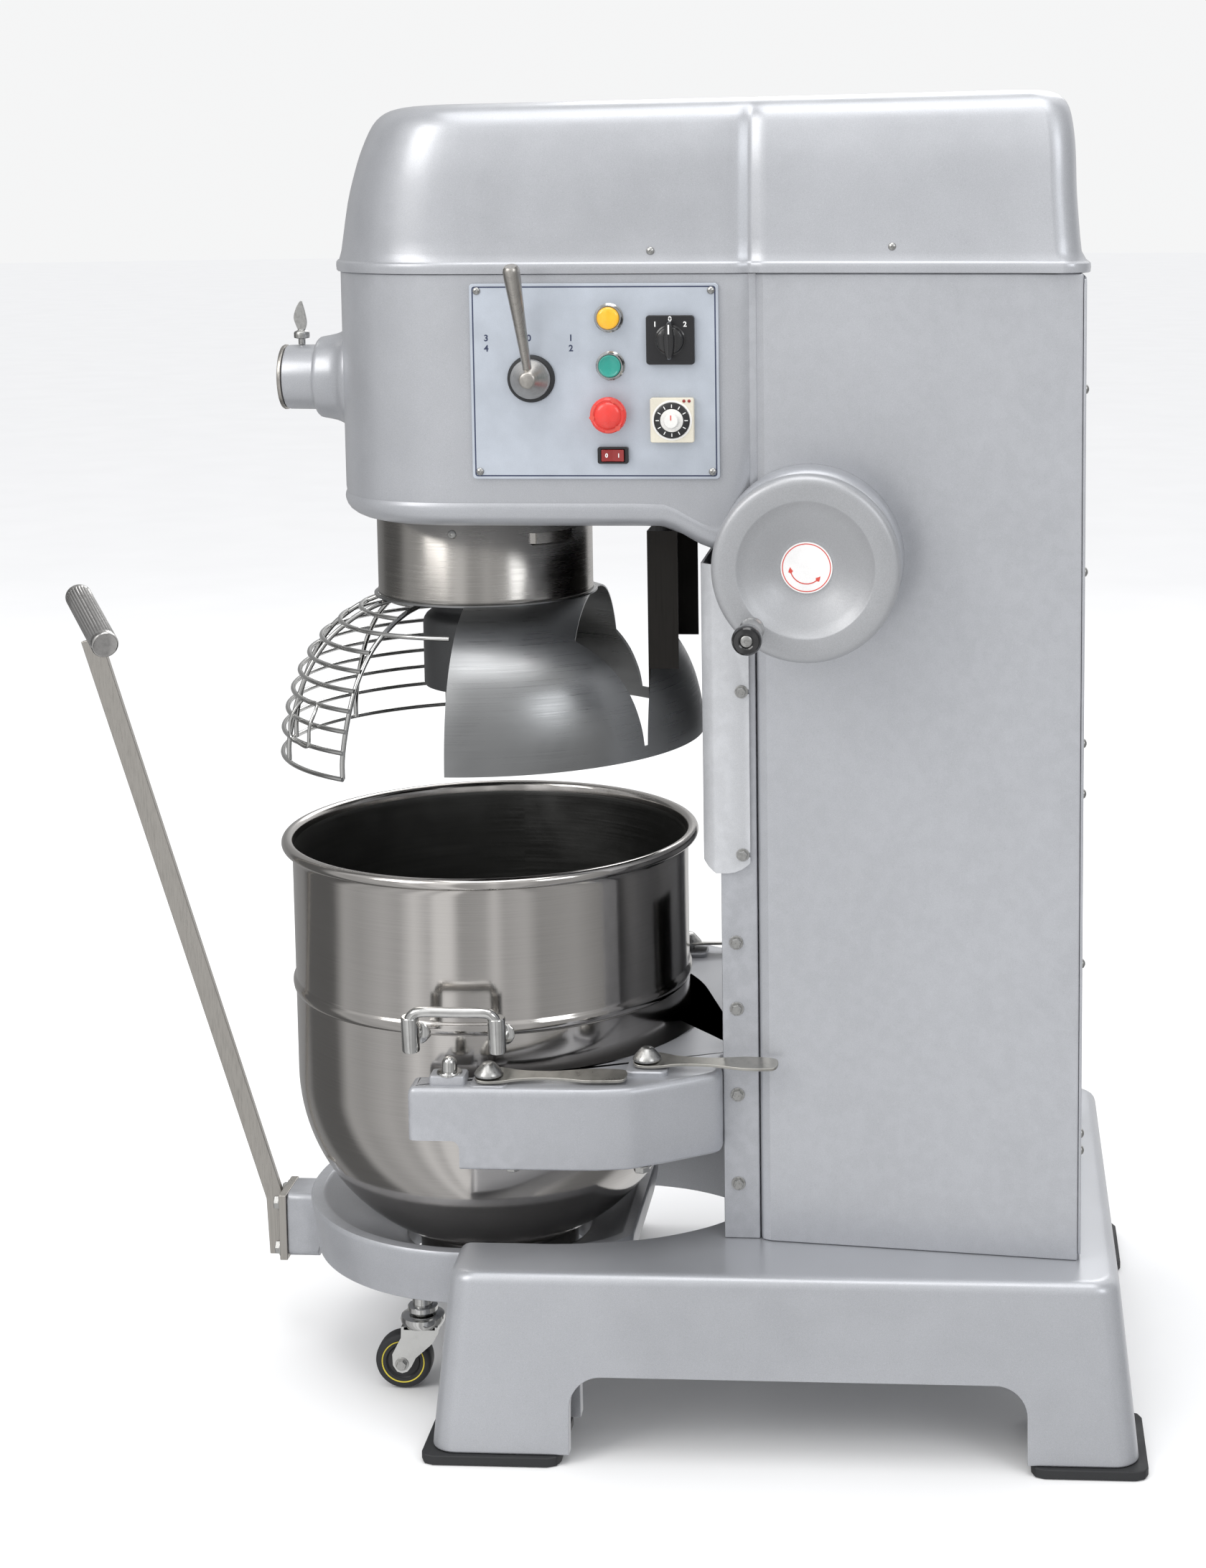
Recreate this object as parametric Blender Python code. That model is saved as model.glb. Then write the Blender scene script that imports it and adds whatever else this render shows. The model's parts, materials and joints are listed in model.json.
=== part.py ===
"""Floor-standing planetary mixer with a hand-wheel bowl lift, a bell-and-cage
guard and a bowl trolley.

Machine frame: +Z up, -Y the front (bowl side), +X the operator side with the
control panel and the hand wheel.  All lengths below are in millimetres in a
frame whose origin is the planetary axis at floor level; ROOT_OFFSET then moves
the whole machine so that the middle of its footprint box is the origin.
"""
import bpy
import bmesh
import math
from mathutils import Vector, Matrix

MM = 0.001
GAP = 0.3                 # gap kept between touching pieces

# ---- driving dimensions (mm) -------------------------------------------------
BASE_TOP = 206.0          # top face of the base casting
PAD_T = 11.0              # thickness of the rubber foot pads
BASE_HALF_FLOOR = 335.0   # half width of the base at the floor
BASE_HALF_TOP = 314.0     # half width of the base at its top face
BASE_Y = (-22.0, 744.0)   # base length at the floor
BASE_Y_TOP = (-2.0, 722.0)
THROAT_HALF = 230.0       # inner half width of the open throat
ARCH_Z = 96.0             # height of the arches between the feet
COL_Y = (330.0, 679.0)    # column front and rear
COL_HALF = (212.0, 252.0) # column half width at the front and at the rear
COL_T = 7.0
LIP_Z = 1278.0            # joint between the castings and the hood
HEAD_HALF = 218.0
HEAD_NOSE = 168.0         # nose length in front of Y = 20
HEAD_BOTTOM = 1003.0
HOOD_TOP = 1461.0
BOWL_R = 231.0            # bowl body radius
BOWL_RIM_Z = 615.0
BOWL_SEAM_Z = 452.0
BOWL_SPHERE_Z = 345.0
BOWL_DEPTH = 222.0
LIFT = 95.0               # bowl lift travel
COLLAR_R = 124.0
GUARD_R = 251.0
GUARD_BOTTOM = 738.0
WHEEL_C = (391.5, 975.0)  # hand wheel centre (Y, Z)
WHEEL_R = 99.0
PANEL_X = 218.4
TROLLEY_R = 222.0
CASTER_R = 32.5
SCREW_Y = 391.5           # lift screw axis
LAY_Y = 186.0             # lay shaft axis in the head
MOTOR_Y = 520.0           # motor axis in the column
PLANET_E = 52.0           # offset of the agitator shaft from the planetary axis
X_SPAN = (-341.0, 402.0)  # footprint box of the whole machine
Y_SPAN = (-503.468, 753.0)
ROOT_OFFSET = (-(X_SPAN[0] + X_SPAN[1]) / 2.0, -(Y_SPAN[0] + Y_SPAN[1]) / 2.0)

for ob in list(bpy.data.objects):
    bpy.data.objects.remove(ob, do_unlink=True)
for me in list(bpy.data.meshes):
    bpy.data.meshes.remove(me)

root = bpy.data.objects.new("mixer_root", None)
bpy.context.scene.collection.objects.link(root)
root.location = (ROOT_OFFSET[0] * MM, ROOT_OFFSET[1] * MM, 0.0)


# ---- materials ---------------------------------------------------------------
def material(name, rgb, rough, metal):
    m = bpy.data.materials.new(name)
    m.use_nodes = True
    b = m.node_tree.nodes["Principled BSDF"]
    b.inputs["Base Color"].default_value = (rgb[0], rgb[1], rgb[2], 1.0)
    b.inputs["Roughness"].default_value = rough
    b.inputs["Metallic"].default_value = metal
    m.diffuse_color = (rgb[0], rgb[1], rgb[2], 1.0)
    return m


PAINT = material("silver_paint", (0.55, 0.56, 0.58), 0.35, 0.6)
STEEL = material("stainless", (0.62, 0.62, 0.61), 0.2, 1.0)
BRUSHED = material("brushed_stainless", (0.60, 0.59, 0.57), 0.35, 1.0)
RUBBER = material("black_rubber", (0.03, 0.03, 0.032), 0.7, 0.0)
BLACK = material("black_plastic", (0.02, 0.02, 0.022), 0.4, 0.0)
PANEL = material("panel_sheet", (0.62, 0.67, 0.73), 0.4, 0.2)
CREAM = material("cream_plastic", (0.75, 0.72, 0.62), 0.45, 0.0)
WHITE = material("white_plastic", (0.85, 0.85, 0.83), 0.35, 0.0)
AMBER = material("amber_lens", (0.95, 0.55, 0.05), 0.25, 0.0)
GREEN = material("green_button", (0.05, 0.45, 0.36), 0.35, 0.0)
RED = material("red_button", (0.85, 0.10, 0.08), 0.35, 0.0)
GEAR = material("machined_steel", (0.45, 0.45, 0.46), 0.3, 1.0)
IRON = material("dark_cast", (0.12, 0.12, 0.13), 0.5, 0.5)
MOTOR = material("motor_grey", (0.25, 0.30, 0.34), 0.5, 0.2)
BELT = material("belt_rubber", (0.04, 0.04, 0.045), 0.8, 0.0)


# ---- mesh helpers ------------------------------------------------------------
def put(bm, name, mat, origin=(0.0, 0.0, 0.0), smooth=32.0, cutter=False):
    """Turn a bmesh in millimetres into an object whose origin is at `origin`."""
    bmesh.ops.remove_doubles(bm, verts=bm.verts[:], dist=0.001)
    bmesh.ops.recalc_face_normals(bm, faces=bm.faces[:])
    if bm.calc_volume(signed=True) < 0.0:
        bmesh.ops.reverse_faces(bm, faces=bm.faces[:])
    o = Vector(origin)
    for v in bm.verts:
        v.co = (v.co - o) * MM
    me = bpy.data.meshes.new(name)
    bm.to_mesh(me)
    bm.free()
    ob = bpy.data.objects.new(name, me)
    bpy.context.scene.collection.objects.link(ob)
    ob.parent = root
    ob.location = o * MM
    if mat is not None:
        me.materials.append(mat)
    if smooth:
        me.shade_smooth()
        me.set_sharp_from_angle(angle=math.radians(smooth))
    if cutter:
        ob.hide_render = True
        ob.display_type = "WIRE"
    return ob


def rings(loops, closed=False, bm=None):
    """Skin loops of equal length; end caps unless the sweep is closed."""
    bm = bm or bmesh.new()
    vs = [[bm.verts.new(p) for p in lp] for lp in loops]
    n = len(vs[0])
    m = len(vs)
    for i in range(m if closed else m - 1):
        a, b = vs[i], vs[(i + 1) % m]
        for j in range(n):
            bm.faces.new((a[j], a[(j + 1) % n], b[(j + 1) % n], b[j]))
    if not closed:
        bm.faces.new(vs[0])
        bm.faces.new(vs[-1])
    return bm


def box(x0, x1, y0, y1, z0, z1, bm=None):
    return rings([[(x0, y0, z), (x1, y0, z), (x1, y1, z), (x0, y1, z)] for z in (z0, z1)], bm=bm)


def prism(poly, lo, hi, axis="Z"):
    """Extrude a 2-D polygon: Z takes (x, y), X takes (y, z), Y takes (x, z)."""
    def p3(p, h):
        if axis == "Z":
            return (p[0], p[1], h)
        if axis == "X":
            return (h, p[0], p[1])
        return (p[0], h, p[1])
    return rings([[p3(p, lo) for p in poly], [p3(p, hi) for p in poly]])


def lathe(profile, segs=32, centre=(0.0, 0.0, 0.0), axis="Z", closed=False):
    """Turn (radius, height) points about an axis through `centre`.

    An open profile is capped by flat discs at both ends; a closed profile
    makes a ring."""
    loops = []
    for r, h in profile:
        lp = []
        for k in range(segs):
            a = 2.0 * math.pi * k / segs
            c, s = r * math.cos(a), r * math.sin(a)
            if axis == "Z":
                lp.append((centre[0] + c, centre[1] + s, centre[2] + h))
            elif axis == "X":
                lp.append((centre[0] + h, centre[1] + c, centre[2] + s))
            else:
                lp.append((centre[0] + s, centre[1] + h, centre[2] + c))
        loops.append(lp)
    return rings(loops, closed=closed)


def tube(points, radius, sides=6, closed=False, phase=0.0):
    """Round bar along points, frames carried along without twist."""
    pts = [Vector(p) for p in points]
    n = len(pts)
    tang = []
    for i in range(n):
        if closed:
            t = pts[(i + 1) % n] - pts[(i - 1) % n]
        else:
            t = pts[min(i + 1, n - 1)] - pts[max(i - 1, 0)]
        tang.append(t.normalized())
    ref = Vector((0, 0, 1)) if abs(tang[0].z) < 0.9 else Vector((1, 0, 0))
    nrm = (ref - tang[0] * ref.dot(tang[0])).normalized()
    loops = []
    for i in range(n):
        nrm = (nrm - tang[i] * nrm.dot(tang[i])).normalized()
        bi = tang[i].cross(nrm)
        loops.append([tuple(pts[i] + radius * (math.cos(phase + 2 * math.pi * k / sides) * nrm
                                              + math.sin(phase + 2 * math.pi * k / sides) * bi))
                      for k in range(sides)])
    return rings(loops, closed=closed)


def boolean(ob, other, op="DIFFERENCE"):
    m = ob.modifiers.new(op.lower() + "_" + other.name, "BOOLEAN")
    m.operation = op
    m.object = other
    m.solver = "EXACT"
    other.hide_render = True
    other.display_type = "WIRE"


def cut(ob, bm):
    boolean(ob, put(bm, "cut_%s_%d" % (ob.name, len(ob.modifiers)), None, smooth=0, cutter=True))


def join(ob, bm):
    boolean(ob, put(bm, "add_%s_%d" % (ob.name, len(ob.modifiers)), None, smooth=0, cutter=True), "UNION")


def bevel(ob, width, segments=1, angle=40.0):
    m = ob.modifiers.new("edge", "BEVEL")
    m.width = width * MM
    m.segments = segments
    m.limit_method = "ANGLE"
    m.angle_limit = math.radians(angle)


def rrect(x0, x1, y0, y1, r, n=4):
    pts = []
    for cx, cy, a0 in ((x1 - r, y0 + r, -90), (x1 - r, y1 - r, 0), (x0 + r, y1 - r, 90), (x0 + r, y0 + r, 180)):
        for k in range(n + 1):
            a = math.radians(a0 + 90.0 * k / n)
            pts.append((cx + r * math.cos(a), cy + r * math.sin(a)))
    return pts


def circle(r, n, a0=0.0, a1=360.0):
    full = abs(a1 - a0) >= 360.0
    return [(r * math.cos(math.radians(a0 + (a1 - a0) * k / (n if full else n - 1))),
             r * math.sin(math.radians(a0 + (a1 - a0) * k / (n if full else n - 1)))) for k in range(n)]


# ---- base --------------------------------------------------------------------
def base_outline(f, inset=0.0):
    """Outline of the base at height fraction f (0 at the floor, 1 at the top)."""
    hw = BASE_HALF_FLOOR + (BASE_HALF_TOP - BASE_HALF_FLOOR) * f - inset
    y0 = BASE_Y[0] + (BASE_Y_TOP[0] - BASE_Y[0]) * f + inset
    y1 = BASE_Y[1] + (BASE_Y_TOP[1] - BASE_Y[1]) * f - inset
    return rrect(-hw, hw, y0, y1, max(28.0 - inset * 0.5, 12.0), 3)


def base_loops(levels, inset):
    out = []
    for z, extra in levels:
        f = (z - PAD_T) / (BASE_TOP - PAD_T)
        out.append([(x, y, z) for x, y in base_outline(f, inset + extra)])
    return out


base = put(rings(base_loops([(PAD_T, 0.0), (BASE_TOP - 9.0, 0.0), (BASE_TOP - 2.5, 3.0), (BASE_TOP, 9.0)], 0.0)),
           "base_casting", PAINT)
throat = [(-THROAT_HALF, -60.0), (THROAT_HALF, -60.0), (THROAT_HALF, 110.0), (213.0, 200.0), (184.0, 256.0),
          (150.0, 292.0), (110.0, 316.0), (-110.0, 316.0), (-150.0, 292.0), (-184.0, 256.0), (-213.0, 200.0),
          (-THROAT_HALF, 110.0)]
WALL = 15.0


def grown(poly, d):
    """Offset a convex polygon outward by d."""
    n = len(poly)
    res = []
    for i in range(n):
        p0, p1, p2 = Vector(poly[i - 1]), Vector(poly[i]), Vector(poly[(i + 1) % n])
        e1, e2 = (p1 - p0).normalized(), (p2 - p1).normalized()
        n1, n2 = Vector((e1.y, -e1.x)), Vector((e2.y, -e2.x))
        b = (n1 + n2).normalized()
        res.append(tuple(p1 + b * (d / max(b.dot(n1), 0.3))))
    return res


cavity = put(rings(base_loops([(-20.0, 0.0), (BASE_TOP - 16.0, 0.0)], WALL)), "cut_base_cavity", None, smooth=0, cutter=True)
cut(cavity, prism(grown(throat, WALL), -80.0, 400.0))
boolean(base, cavity)
cut(base, prism(throat, -80.0, 400.0))
arch = [(131.0, -40.0), (624.0, -40.0), (624.0, 62.0), (612.0, 84.0), (590.0, ARCH_Z), (165.0, ARCH_Z), (143.0, 84.0), (131.0, 62.0)]
cut(base, prism(arch, -400.0, 400.0, "X"))
arch_rear = [(-205.0, -40.0), (205.0, -40.0), (205.0, 62.0), (193.0, 84.0), (171.0, ARCH_Z), (-171.0, ARCH_Z), (-193.0, 84.0), (-205.0, 62.0)]
cut(base, prism(arch_rear, 500.0, 800.0, "Y"))

PADS = {"foot_pad_front_near": (226.0, 341.0, -31.0, 122.0), "foot_pad_front_far": (-341.0, -226.0, -31.0, 122.0),
        "foot_pad_rear_near": (200.0, 341.0, 628.0, 753.0), "foot_pad_rear_far": (-341.0, -200.0, 628.0, 753.0)}
for nm, (x0, x1, y0, y1) in PADS.items():
    put(prism(rrect(x0, x1, y0, y1, 14.0, 2), 0.0, PAD_T - GAP), nm, RUBBER)


# ---- column ------------------------------------------------------------------
def col_half(y):
    return COL_HALF[0] + (COL_HALF[1] - COL_HALF[0]) * (y - COL_Y[0]) / (COL_Y[1] - COL_Y[0])


def column_poly(t0):
    """U-shaped section, open to the rear, with inward flanges for the cover."""
    yf, yr = COL_Y
    a, b = COL_HALF
    outer = [(a - 12.0, yf), (a - 3.0, yf + 3.0), (a + 1.0, yf + 12.0), (b, yr)]
    fl = [(b - 32.0, yr), (b - 32.0, yr - t0)]
    inner = [(col_half(yr - t0) - t0, yr - t0), (a - t0 + 0.5, yf + t0)]
    half = outer + fl + inner
    return half + [(-x, y) for x, y in reversed(half)]


column = put(prism(column_poly(COL_T), BASE_TOP + GAP, LIP_Z - GAP), "column_shell", PAINT)
cut(column, box(-46.0, 46.0, COL_Y[0] - 20.0, COL_Y[0] + 20.0, 300.0, 520.0))
cut(column, lathe([(14.0, 150.0), (14.0, 260.0)], 16, (0.0, WHEEL_C[0], WHEEL_C[1]), "X"))
put(prism(rrect(-251.0, 251.0, BASE_TOP + 4.0, LIP_Z - 4.0, 8.0, 2), COL_Y[1] + GAP, COL_Y[1] + 3.5, "Y"),
    "rear_cover", PAINT)


# ---- head casting --------------------------------------------------------------
def head_plan(inset):
    pts = []
    hw = HEAD_HALF - inset
    side = [y - max(inset, 0.0) * max(y - 200.0, 0.0) / 126.0 for y in (326.0, 286.0, 262.0, 234.0, 120.0, 20.0)]
    for y in side:
        pts.append((hw, y))
    n = 14
    for k in range(1, n):
        t = math.pi * k / n
        c, s = math.cos(t), math.sin(t)
        pts.append((math.copysign(abs(c) ** 0.80, c) * hw, 20.0 - (HEAD_NOSE - inset) * s ** 0.80))
    for y in reversed(side):
        pts.append((-hw, y))
    return pts


def arch_drop(y):
    t = min(max((y - 226.0) / 66.0, 0.0), 1.0)
    return -26.0 * t * t * (3.0 - 2.0 * t)


def head_loop(inset, z, droop):
    return [(x, y, z + arch_drop(y) * droop) for x, y in head_plan(inset)]


def head_centre(z, f):
    """Flat middle of the bottom plate, the section drawn in towards its centre."""
    return [(x * f, 90.0 + (y - 90.0) * f, z) for x, y in head_plan(48.0)]


head_bm = rings([head_centre(HEAD_BOTTOM + 13.0, 0.62), head_loop(9.0, HEAD_BOTTOM + 13.0, 1.0), head_loop(9.0, 1060.0, 0.4), head_loop(9.0, LIP_Z - GAP, 0.0),
                 head_loop(0.0, LIP_Z - GAP, 0.0), head_loop(0.0, 1062.0, 0.4), head_loop(1.0, 1032.0, 1.0),
                 head_loop(-1.0, 1026.0, 1.0), head_loop(1.0, 1018.0, 1.0), head_loop(9.0, 1011.0, 1.0),
                 head_loop(22.0, 1005.0, 1.0), head_loop(48.0, HEAD_BOTTOM, 1.0), head_centre(HEAD_BOTTOM, 0.62)])
bmesh.ops.triangulate(head_bm, faces=head_bm.faces[:])
head = put(head_bm, "head_casting", PAINT)
cut(head, lathe([(40.0, 900.0), (40.0, 1060.0)], 20))
cut(head, lathe([(10.5, 150.0), (10.5, 260.0)], 12, (0.0, 94.0, 1167.0), "X"))


# ---- hood ----------------------------------------------------------------------
def hood_plan():
    pts = []
    for y in (326.0, 322.0, 230.0, 120.0, 20.0):
        pts.append((HEAD_HALF if y < 325.0 else HEAD_HALF - 7.0, y))
    n = 14
    for k in range(1, n):
        t = math.pi * k / n
        c, s = math.cos(t), math.sin(t)
        pts.append((math.copysign(abs(c) ** 0.80, c) * HEAD_HALF, 20.0 - HEAD_NOSE * s ** 0.80))
    left = [(-x, y) for x, y in pts[:5]][::-1]
    pts += left
    rear = [(-(HEAD_HALF - 1.0), 334.0), (-col_half(430.0) - 1.0, 430.0), (-col_half(560.0) - 1.0, 560.0)]
    for k in range(5):
        a = math.radians(180.0 - 90.0 * k / 4.0)
        rear.append((-225.0 + 30.0 * math.cos(a), 652.0 + 30.0 * math.sin(a)))
    pts += rear + [(0.0, 682.0)] + [(-x, y) for x, y in reversed(rear)]
    return pts


HP = hood_plan()


def hood_loop(z, front, side, rear, rise=0.0):
    """Hood section drawn in by `front` at the nose, `side` at the flanks and `rear` at the back."""
    lp = []
    for x, y in HP:
        x2 = x * (1.0 - side / 235.0)
        if y < 20.0:
            y2 = 20.0 - (20.0 - y) * (1.0 - front / HEAD_NOSE)
        elif y > 400.0:
            y2 = 400.0 + (y - 400.0) * (1.0 - rear / 282.0)
        else:
            y2 = y
        lp.append((x2, y2, z + rise * 0.016 * (y2 - 100.0)))
    return lp


T = 4.0
hood_bm = rings([
    hood_loop(HOOD_TOP - 5.0, 84.0, 66.0, 50.0, 1.0), hood_loop(HOOD_TOP - 18.0, 54.0, 44.0, 30.0, 1.0),
    hood_loop(1354.0, 10.0 + T, 8.0 + T, 9.0 + T, 0.4),
    hood_loop(LIP_Z + GAP, 1.0 + T, 1.0 + T, 1.0 + T), hood_loop(LIP_Z + GAP, -4.0, -4.0, -5.0),
    hood_loop(1287.0, -4.5, -4.5, -5.5), hood_loop(1291.0, -1.0, -1.0, -1.0), hood_loop(1300.0, 1.5, 2.0, 4.0),
    hood_loop(1354.0, 10.0, 8.0, 9.0, 0.4), hood_loop(1416.0, 28.0, 18.0, 12.0, 0.8),
    hood_loop(1441.0, 40.0, 27.0, 17.0, 1.0), hood_loop(1454.0, 54.0, 41.0, 27.0, 1.0),
    hood_loop(1460.0, 72.0, 60.0, 42.0, 1.0), hood_loop(HOOD_TOP, 92.0, 82.0, 60.0, 1.0)])
put(hood_bm, "hood_cover", PAINT)

# ---- attachment hub on the nose --------------------------------------------------
HUB_Z = 1152.0
hub = put(lathe([(24.0, -145.0), (62.0, -145.0), (60.0, -152.0), (54.0, -158.0), (50.0, -168.0), (47.0, -184.0), (45.0, -188.0),
                 (37.5, -190.0), (37.0, -226.0), (24.0, -226.0)], 22, (0.0, 0.0, HUB_Z), "Y", closed=True),
          "attachment_hub", PAINT)
cut(hub, head_cut := rings([[(x, y, z) for x, y in head_plan(-GAP)] for z in (1050.0, 1260.0)]))
put(lathe([(37.5, -226.3), (37.5, -228.0), (35.0, -231.5), (8.0, -231.5)][::1] + [], 28, (0.0, 0.0, HUB_Z), "Y"),
    "hub_end_cap", BRUSHED)
put(lathe([(4.0, HUB_Z + 37.5), (4.0, HUB_Z + 46.0), (8.0, HUB_Z + 47.0), (8.0, HUB_Z + 52.0), (4.5, HUB_Z + 54.0),
           (6.5, HUB_Z + 62.0), (5.0, HUB_Z + 78.0), (1.5, HUB_Z + 88.0)], 10, (0.0, -209.0, 0.0)),
    "hub_thumb_screw", BRUSHED, origin=(0.0, -209.0, HUB_Z + 40.0))

# ---- collar, ring gear, guard ------------------------------------------------------
put(lathe([(COLLAR_R, 1002.6), (COLLAR_R, 905.0), (COLLAR_R - 2.5, 905.0), (COLLAR_R - 2.5, 1002.6)], 32, closed=True),
    "collar_ring", STEEL)
put(lathe([(118.0, 1002.6), (118.0, 930.0), (80.3, 930.0), (80.3, 962.0), (104.0, 962.0), (104.0, 1002.6)], 24, closed=True),
    "ring_gear", GEAR)

BELL = [(COLLAR_R + 2.0, 904.6), (150.0, 897.0), (178.0, 883.0), (205.0, 861.0), (226.0, 835.0), (240.0, 806.0),
        (248.0, 776.0), (GUARD_R, 752.0), (GUARD_R + 0.6, GUARD_BOTTOM)]


def sheet_profile(profile, t):
    """Close a one-sided profile into a sheet section of thickness t (inward)."""
    back = []
    n = len(profile)
    for i in range(n):
        a = Vector(profile[max(i - 1, 0)])
        b = Vector(profile[min(i + 1, n - 1)])
        d = (b - a).normalized()
        nn = Vector((d.y, -d.x))
        if nn.x > 0:
            nn = -nn
        back.append(tuple(Vector(profile[i]) + nn * t))
    return list(profile) + back[::-1]


def sector(profile, a0, a1, n):
    """Turn a closed (r, z) section through a part circle about Z."""
    loops = []
    for k in range(n + 1):
        a = math.radians(a0 + (a1 - a0) * k / n)
        loops.append([(r * math.cos(a), r * math.sin(a), z) for r, z in profile])
    return rings(loops)


bell = put(sector(sheet_profile(BELL, 1.8), -1.0, 196.0, 24), "guard_bell", STEEL)
cut(bell, box(-196.0, 150.0, 125.0, 204.0, 752.0, 960.0))
splash = put(prism([(-112.0, 202.0), (112.0, 202.0), (112.0, 236.0), (110.0, 236.0), (110.0, 203.8), (-110.0, 203.8),
                    (-110.0, 236.0), (-112.0, 236.0)], 752.4, 988.0), "rear_splash_plate", IRON)
cut(splash, box(-130.0, 130.0, 203.9, 260.0, 700.0, 832.0))

CAGE = [(112.0, 899.0), (134.0, 893.0), (160.0, 880.0), (188.0, 858.0), (209.0, 829.0), (222.0, 800.0), (231.0, 770.0),
        (236.0, 744.0), (236.5, 723.0)]
CAGE_A = (-33.0, -186.0)


def cage_r(z):
    for (r0, z0), (r1, z1) in zip(CAGE, CAGE[1:]):
        if z0 >= z >= z1:
            return r0 + (r1 - r0) * (z0 - z) / (z0 - z1)
    return CAGE[-1][0]


HOOPS = [899.0, 889.0, 875.0, 857.0, 838.0, 818.0, 797.0, 775.0, 752.0, 723.0]
rods_bm = bmesh.new()
for a in (CAGE_A[0], -64.0, -95.0, -126.0, -157.0, CAGE_A[1]):
    ar = math.radians(a)
    t = tube([((r - 0.9) * math.cos(ar), (r - 0.9) * math.sin(ar), z) for r, z in CAGE], 2.9, 4)
    me = bpy.data.meshes.new("tmp")
    t.to_mesh(me)
    t.free()
    rods_bm.from_mesh(me)
    bpy.data.meshes.remove(me)
cage = put(rods_bm, "guard_cage", STEEL, smooth=50)
hoops_bm = bmesh.new()
for i, z in enumerate(HOOPS):
    r = cage_r(z) + 1.4
    a0 = CAGE_A[0] + 0.6 if i != 2 else -4.0
    a1 = CAGE_A[1] - 0.6
    n = 10 if i != 2 else 12
    t = tube([(r * math.cos(math.radians(a0 + (a1 - a0) * k / n)), r * math.sin(math.radians(a0 + (a1 - a0) * k / n)), z)
              for k in range(n + 1)], 2.7, 4, phase=0.3)
    me = bpy.data.meshes.new("tmp")
    t.to_mesh(me)
    t.free()
    hoops_bm.from_mesh(me)
    bpy.data.meshes.remove(me)
boolean(cage, put(hoops_bm, "add_guard_cage_hoops", None, smooth=0, cutter=True), "UNION")

# ---- planetary drive -------------------------------------------------------------
hub2 = put(lathe([(30.0, 793.0), (70.0, 793.0), (74.0, 797.0), (74.0, 872.0), (63.0, 884.0), (63.0, 904.0), (76.0, 906.0),
                  (76.0, 926.0), (20.0, 926.0), (20.0, 1118.0), (124.7, 1118.0), (124.7, 1144.0), (20.0, 1144.0),
                  (20.0, 1236.0)], 24), "planetary_hub", IRON)
cut(hub2, lathe([(16.4, 700.0), (16.4, 927.5)], 16, (0.0, PLANET_E, 0.0)))
put(lathe([(12.0, 746.0), (15.5, 749.0), (15.5, 929.0), (27.6, 930.5), (27.6, 960.0), (15.5, 960.0), (15.5, 970.0)], 16,
          (0.0, PLANET_E, 0.0)), "agitator_shaft", GEAR, origin=(0.0, PLANET_E, 790.0))
put(lathe([(14.0, 1040.0), (14.0, 1118.0), (60.7, 1118.0), (60.7, 1144.0), (14.0, 1144.0), (14.0, 1316.0), (92.0, 1316.0),
           (92.0, 1345.0), (14.0, 1345.0), (14.0, 1352.0)], 20, (0.0, LAY_Y, 0.0)), "lay_shaft", GEAR, origin=(0.0, LAY_Y, 1200.0))
motor = put(lathe([(70.0, 1006.0), (95.0, 1012.0), (95.0, 1268.0), (80.0, 1290.0)], 24, (0.0, MOTOR_Y, 0.0)),
            "drive_motor", MOTOR)
join(motor, box(-206.0, 206.0, 420.0, 632.0, 1288.0, 1298.0))
put(lathe([(12.0, 1298.6), (12.0, 1316.0), (45.0, 1316.0), (45.0, 1345.0), (12.0, 1345.0), (12.0, 1350.0)], 18,
          (0.0, MOTOR_Y, 0.0)), "motor_pulley", IRON, origin=(0.0, MOTOR_Y, 1330.0))


def belt_path(r0, r1):
    """Tight loop around two round pulleys on the Y axis line."""
    d = MOTOR_Y - LAY_Y
    b = math.degrees(math.asin((r0 - r1) / d))
    pts = []
    for k in range(17):
        a = math.radians(180.0 - b + (180.0 + 2 * b) * k / 16.0)
        pts.append((r0 * math.cos(a), LAY_Y + r0 * math.sin(a)))
    for k in range(11):
        a = math.radians(b + (180.0 - 2 * b) * k / 10.0)
        pts.append((r1 * math.cos(a), MOTOR_Y + r1 * math.sin(a)))
    return pts


bi, bo = belt_path(93.4, 46.6), belt_path(98.5, 51.5)
put(rings([[(x, y, 1320.0) for x, y in bi], [(x, y, 1320.0) for x, y in bo], [(x, y, 1341.0) for x, y in bo],
           [(x, y, 1341.0) for x, y in bi]], closed=True), "drive_belt", BELT)

# ---- control panel -----------------------------------------------------------------
px0, px1 = PANEL_X, PANEL_X + 3.4
panel = put(prism(rrect(28.5, 295.0, 1059.0, 1268.0, 4.0, 2), px0, px1, "X"), "control_panel", PANEL)
cut(panel, lathe([(10.5, 200.0), (10.5, 240.0)], 12, (0.0, 94.0, 1167.0), "X"))
PF = px1 + GAP


def bezel(y, z, r_out, r_in, h, segs=16):
    """Raised collar round a button, one piece with the panel."""
    join(panel, lathe([(r_out, px1 - 1.0), (r_out, PF + h), (r_in, PF + h), (r_in, px1 - 1.0)], segs, (0.0, y, z), "X", closed=True))


def button(name, mat, y, z, prof, segs=16):
    return put(lathe(prof, segs, (0.0, y, z), "X"), name, mat, origin=(PF + 6.0, y, z))


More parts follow.
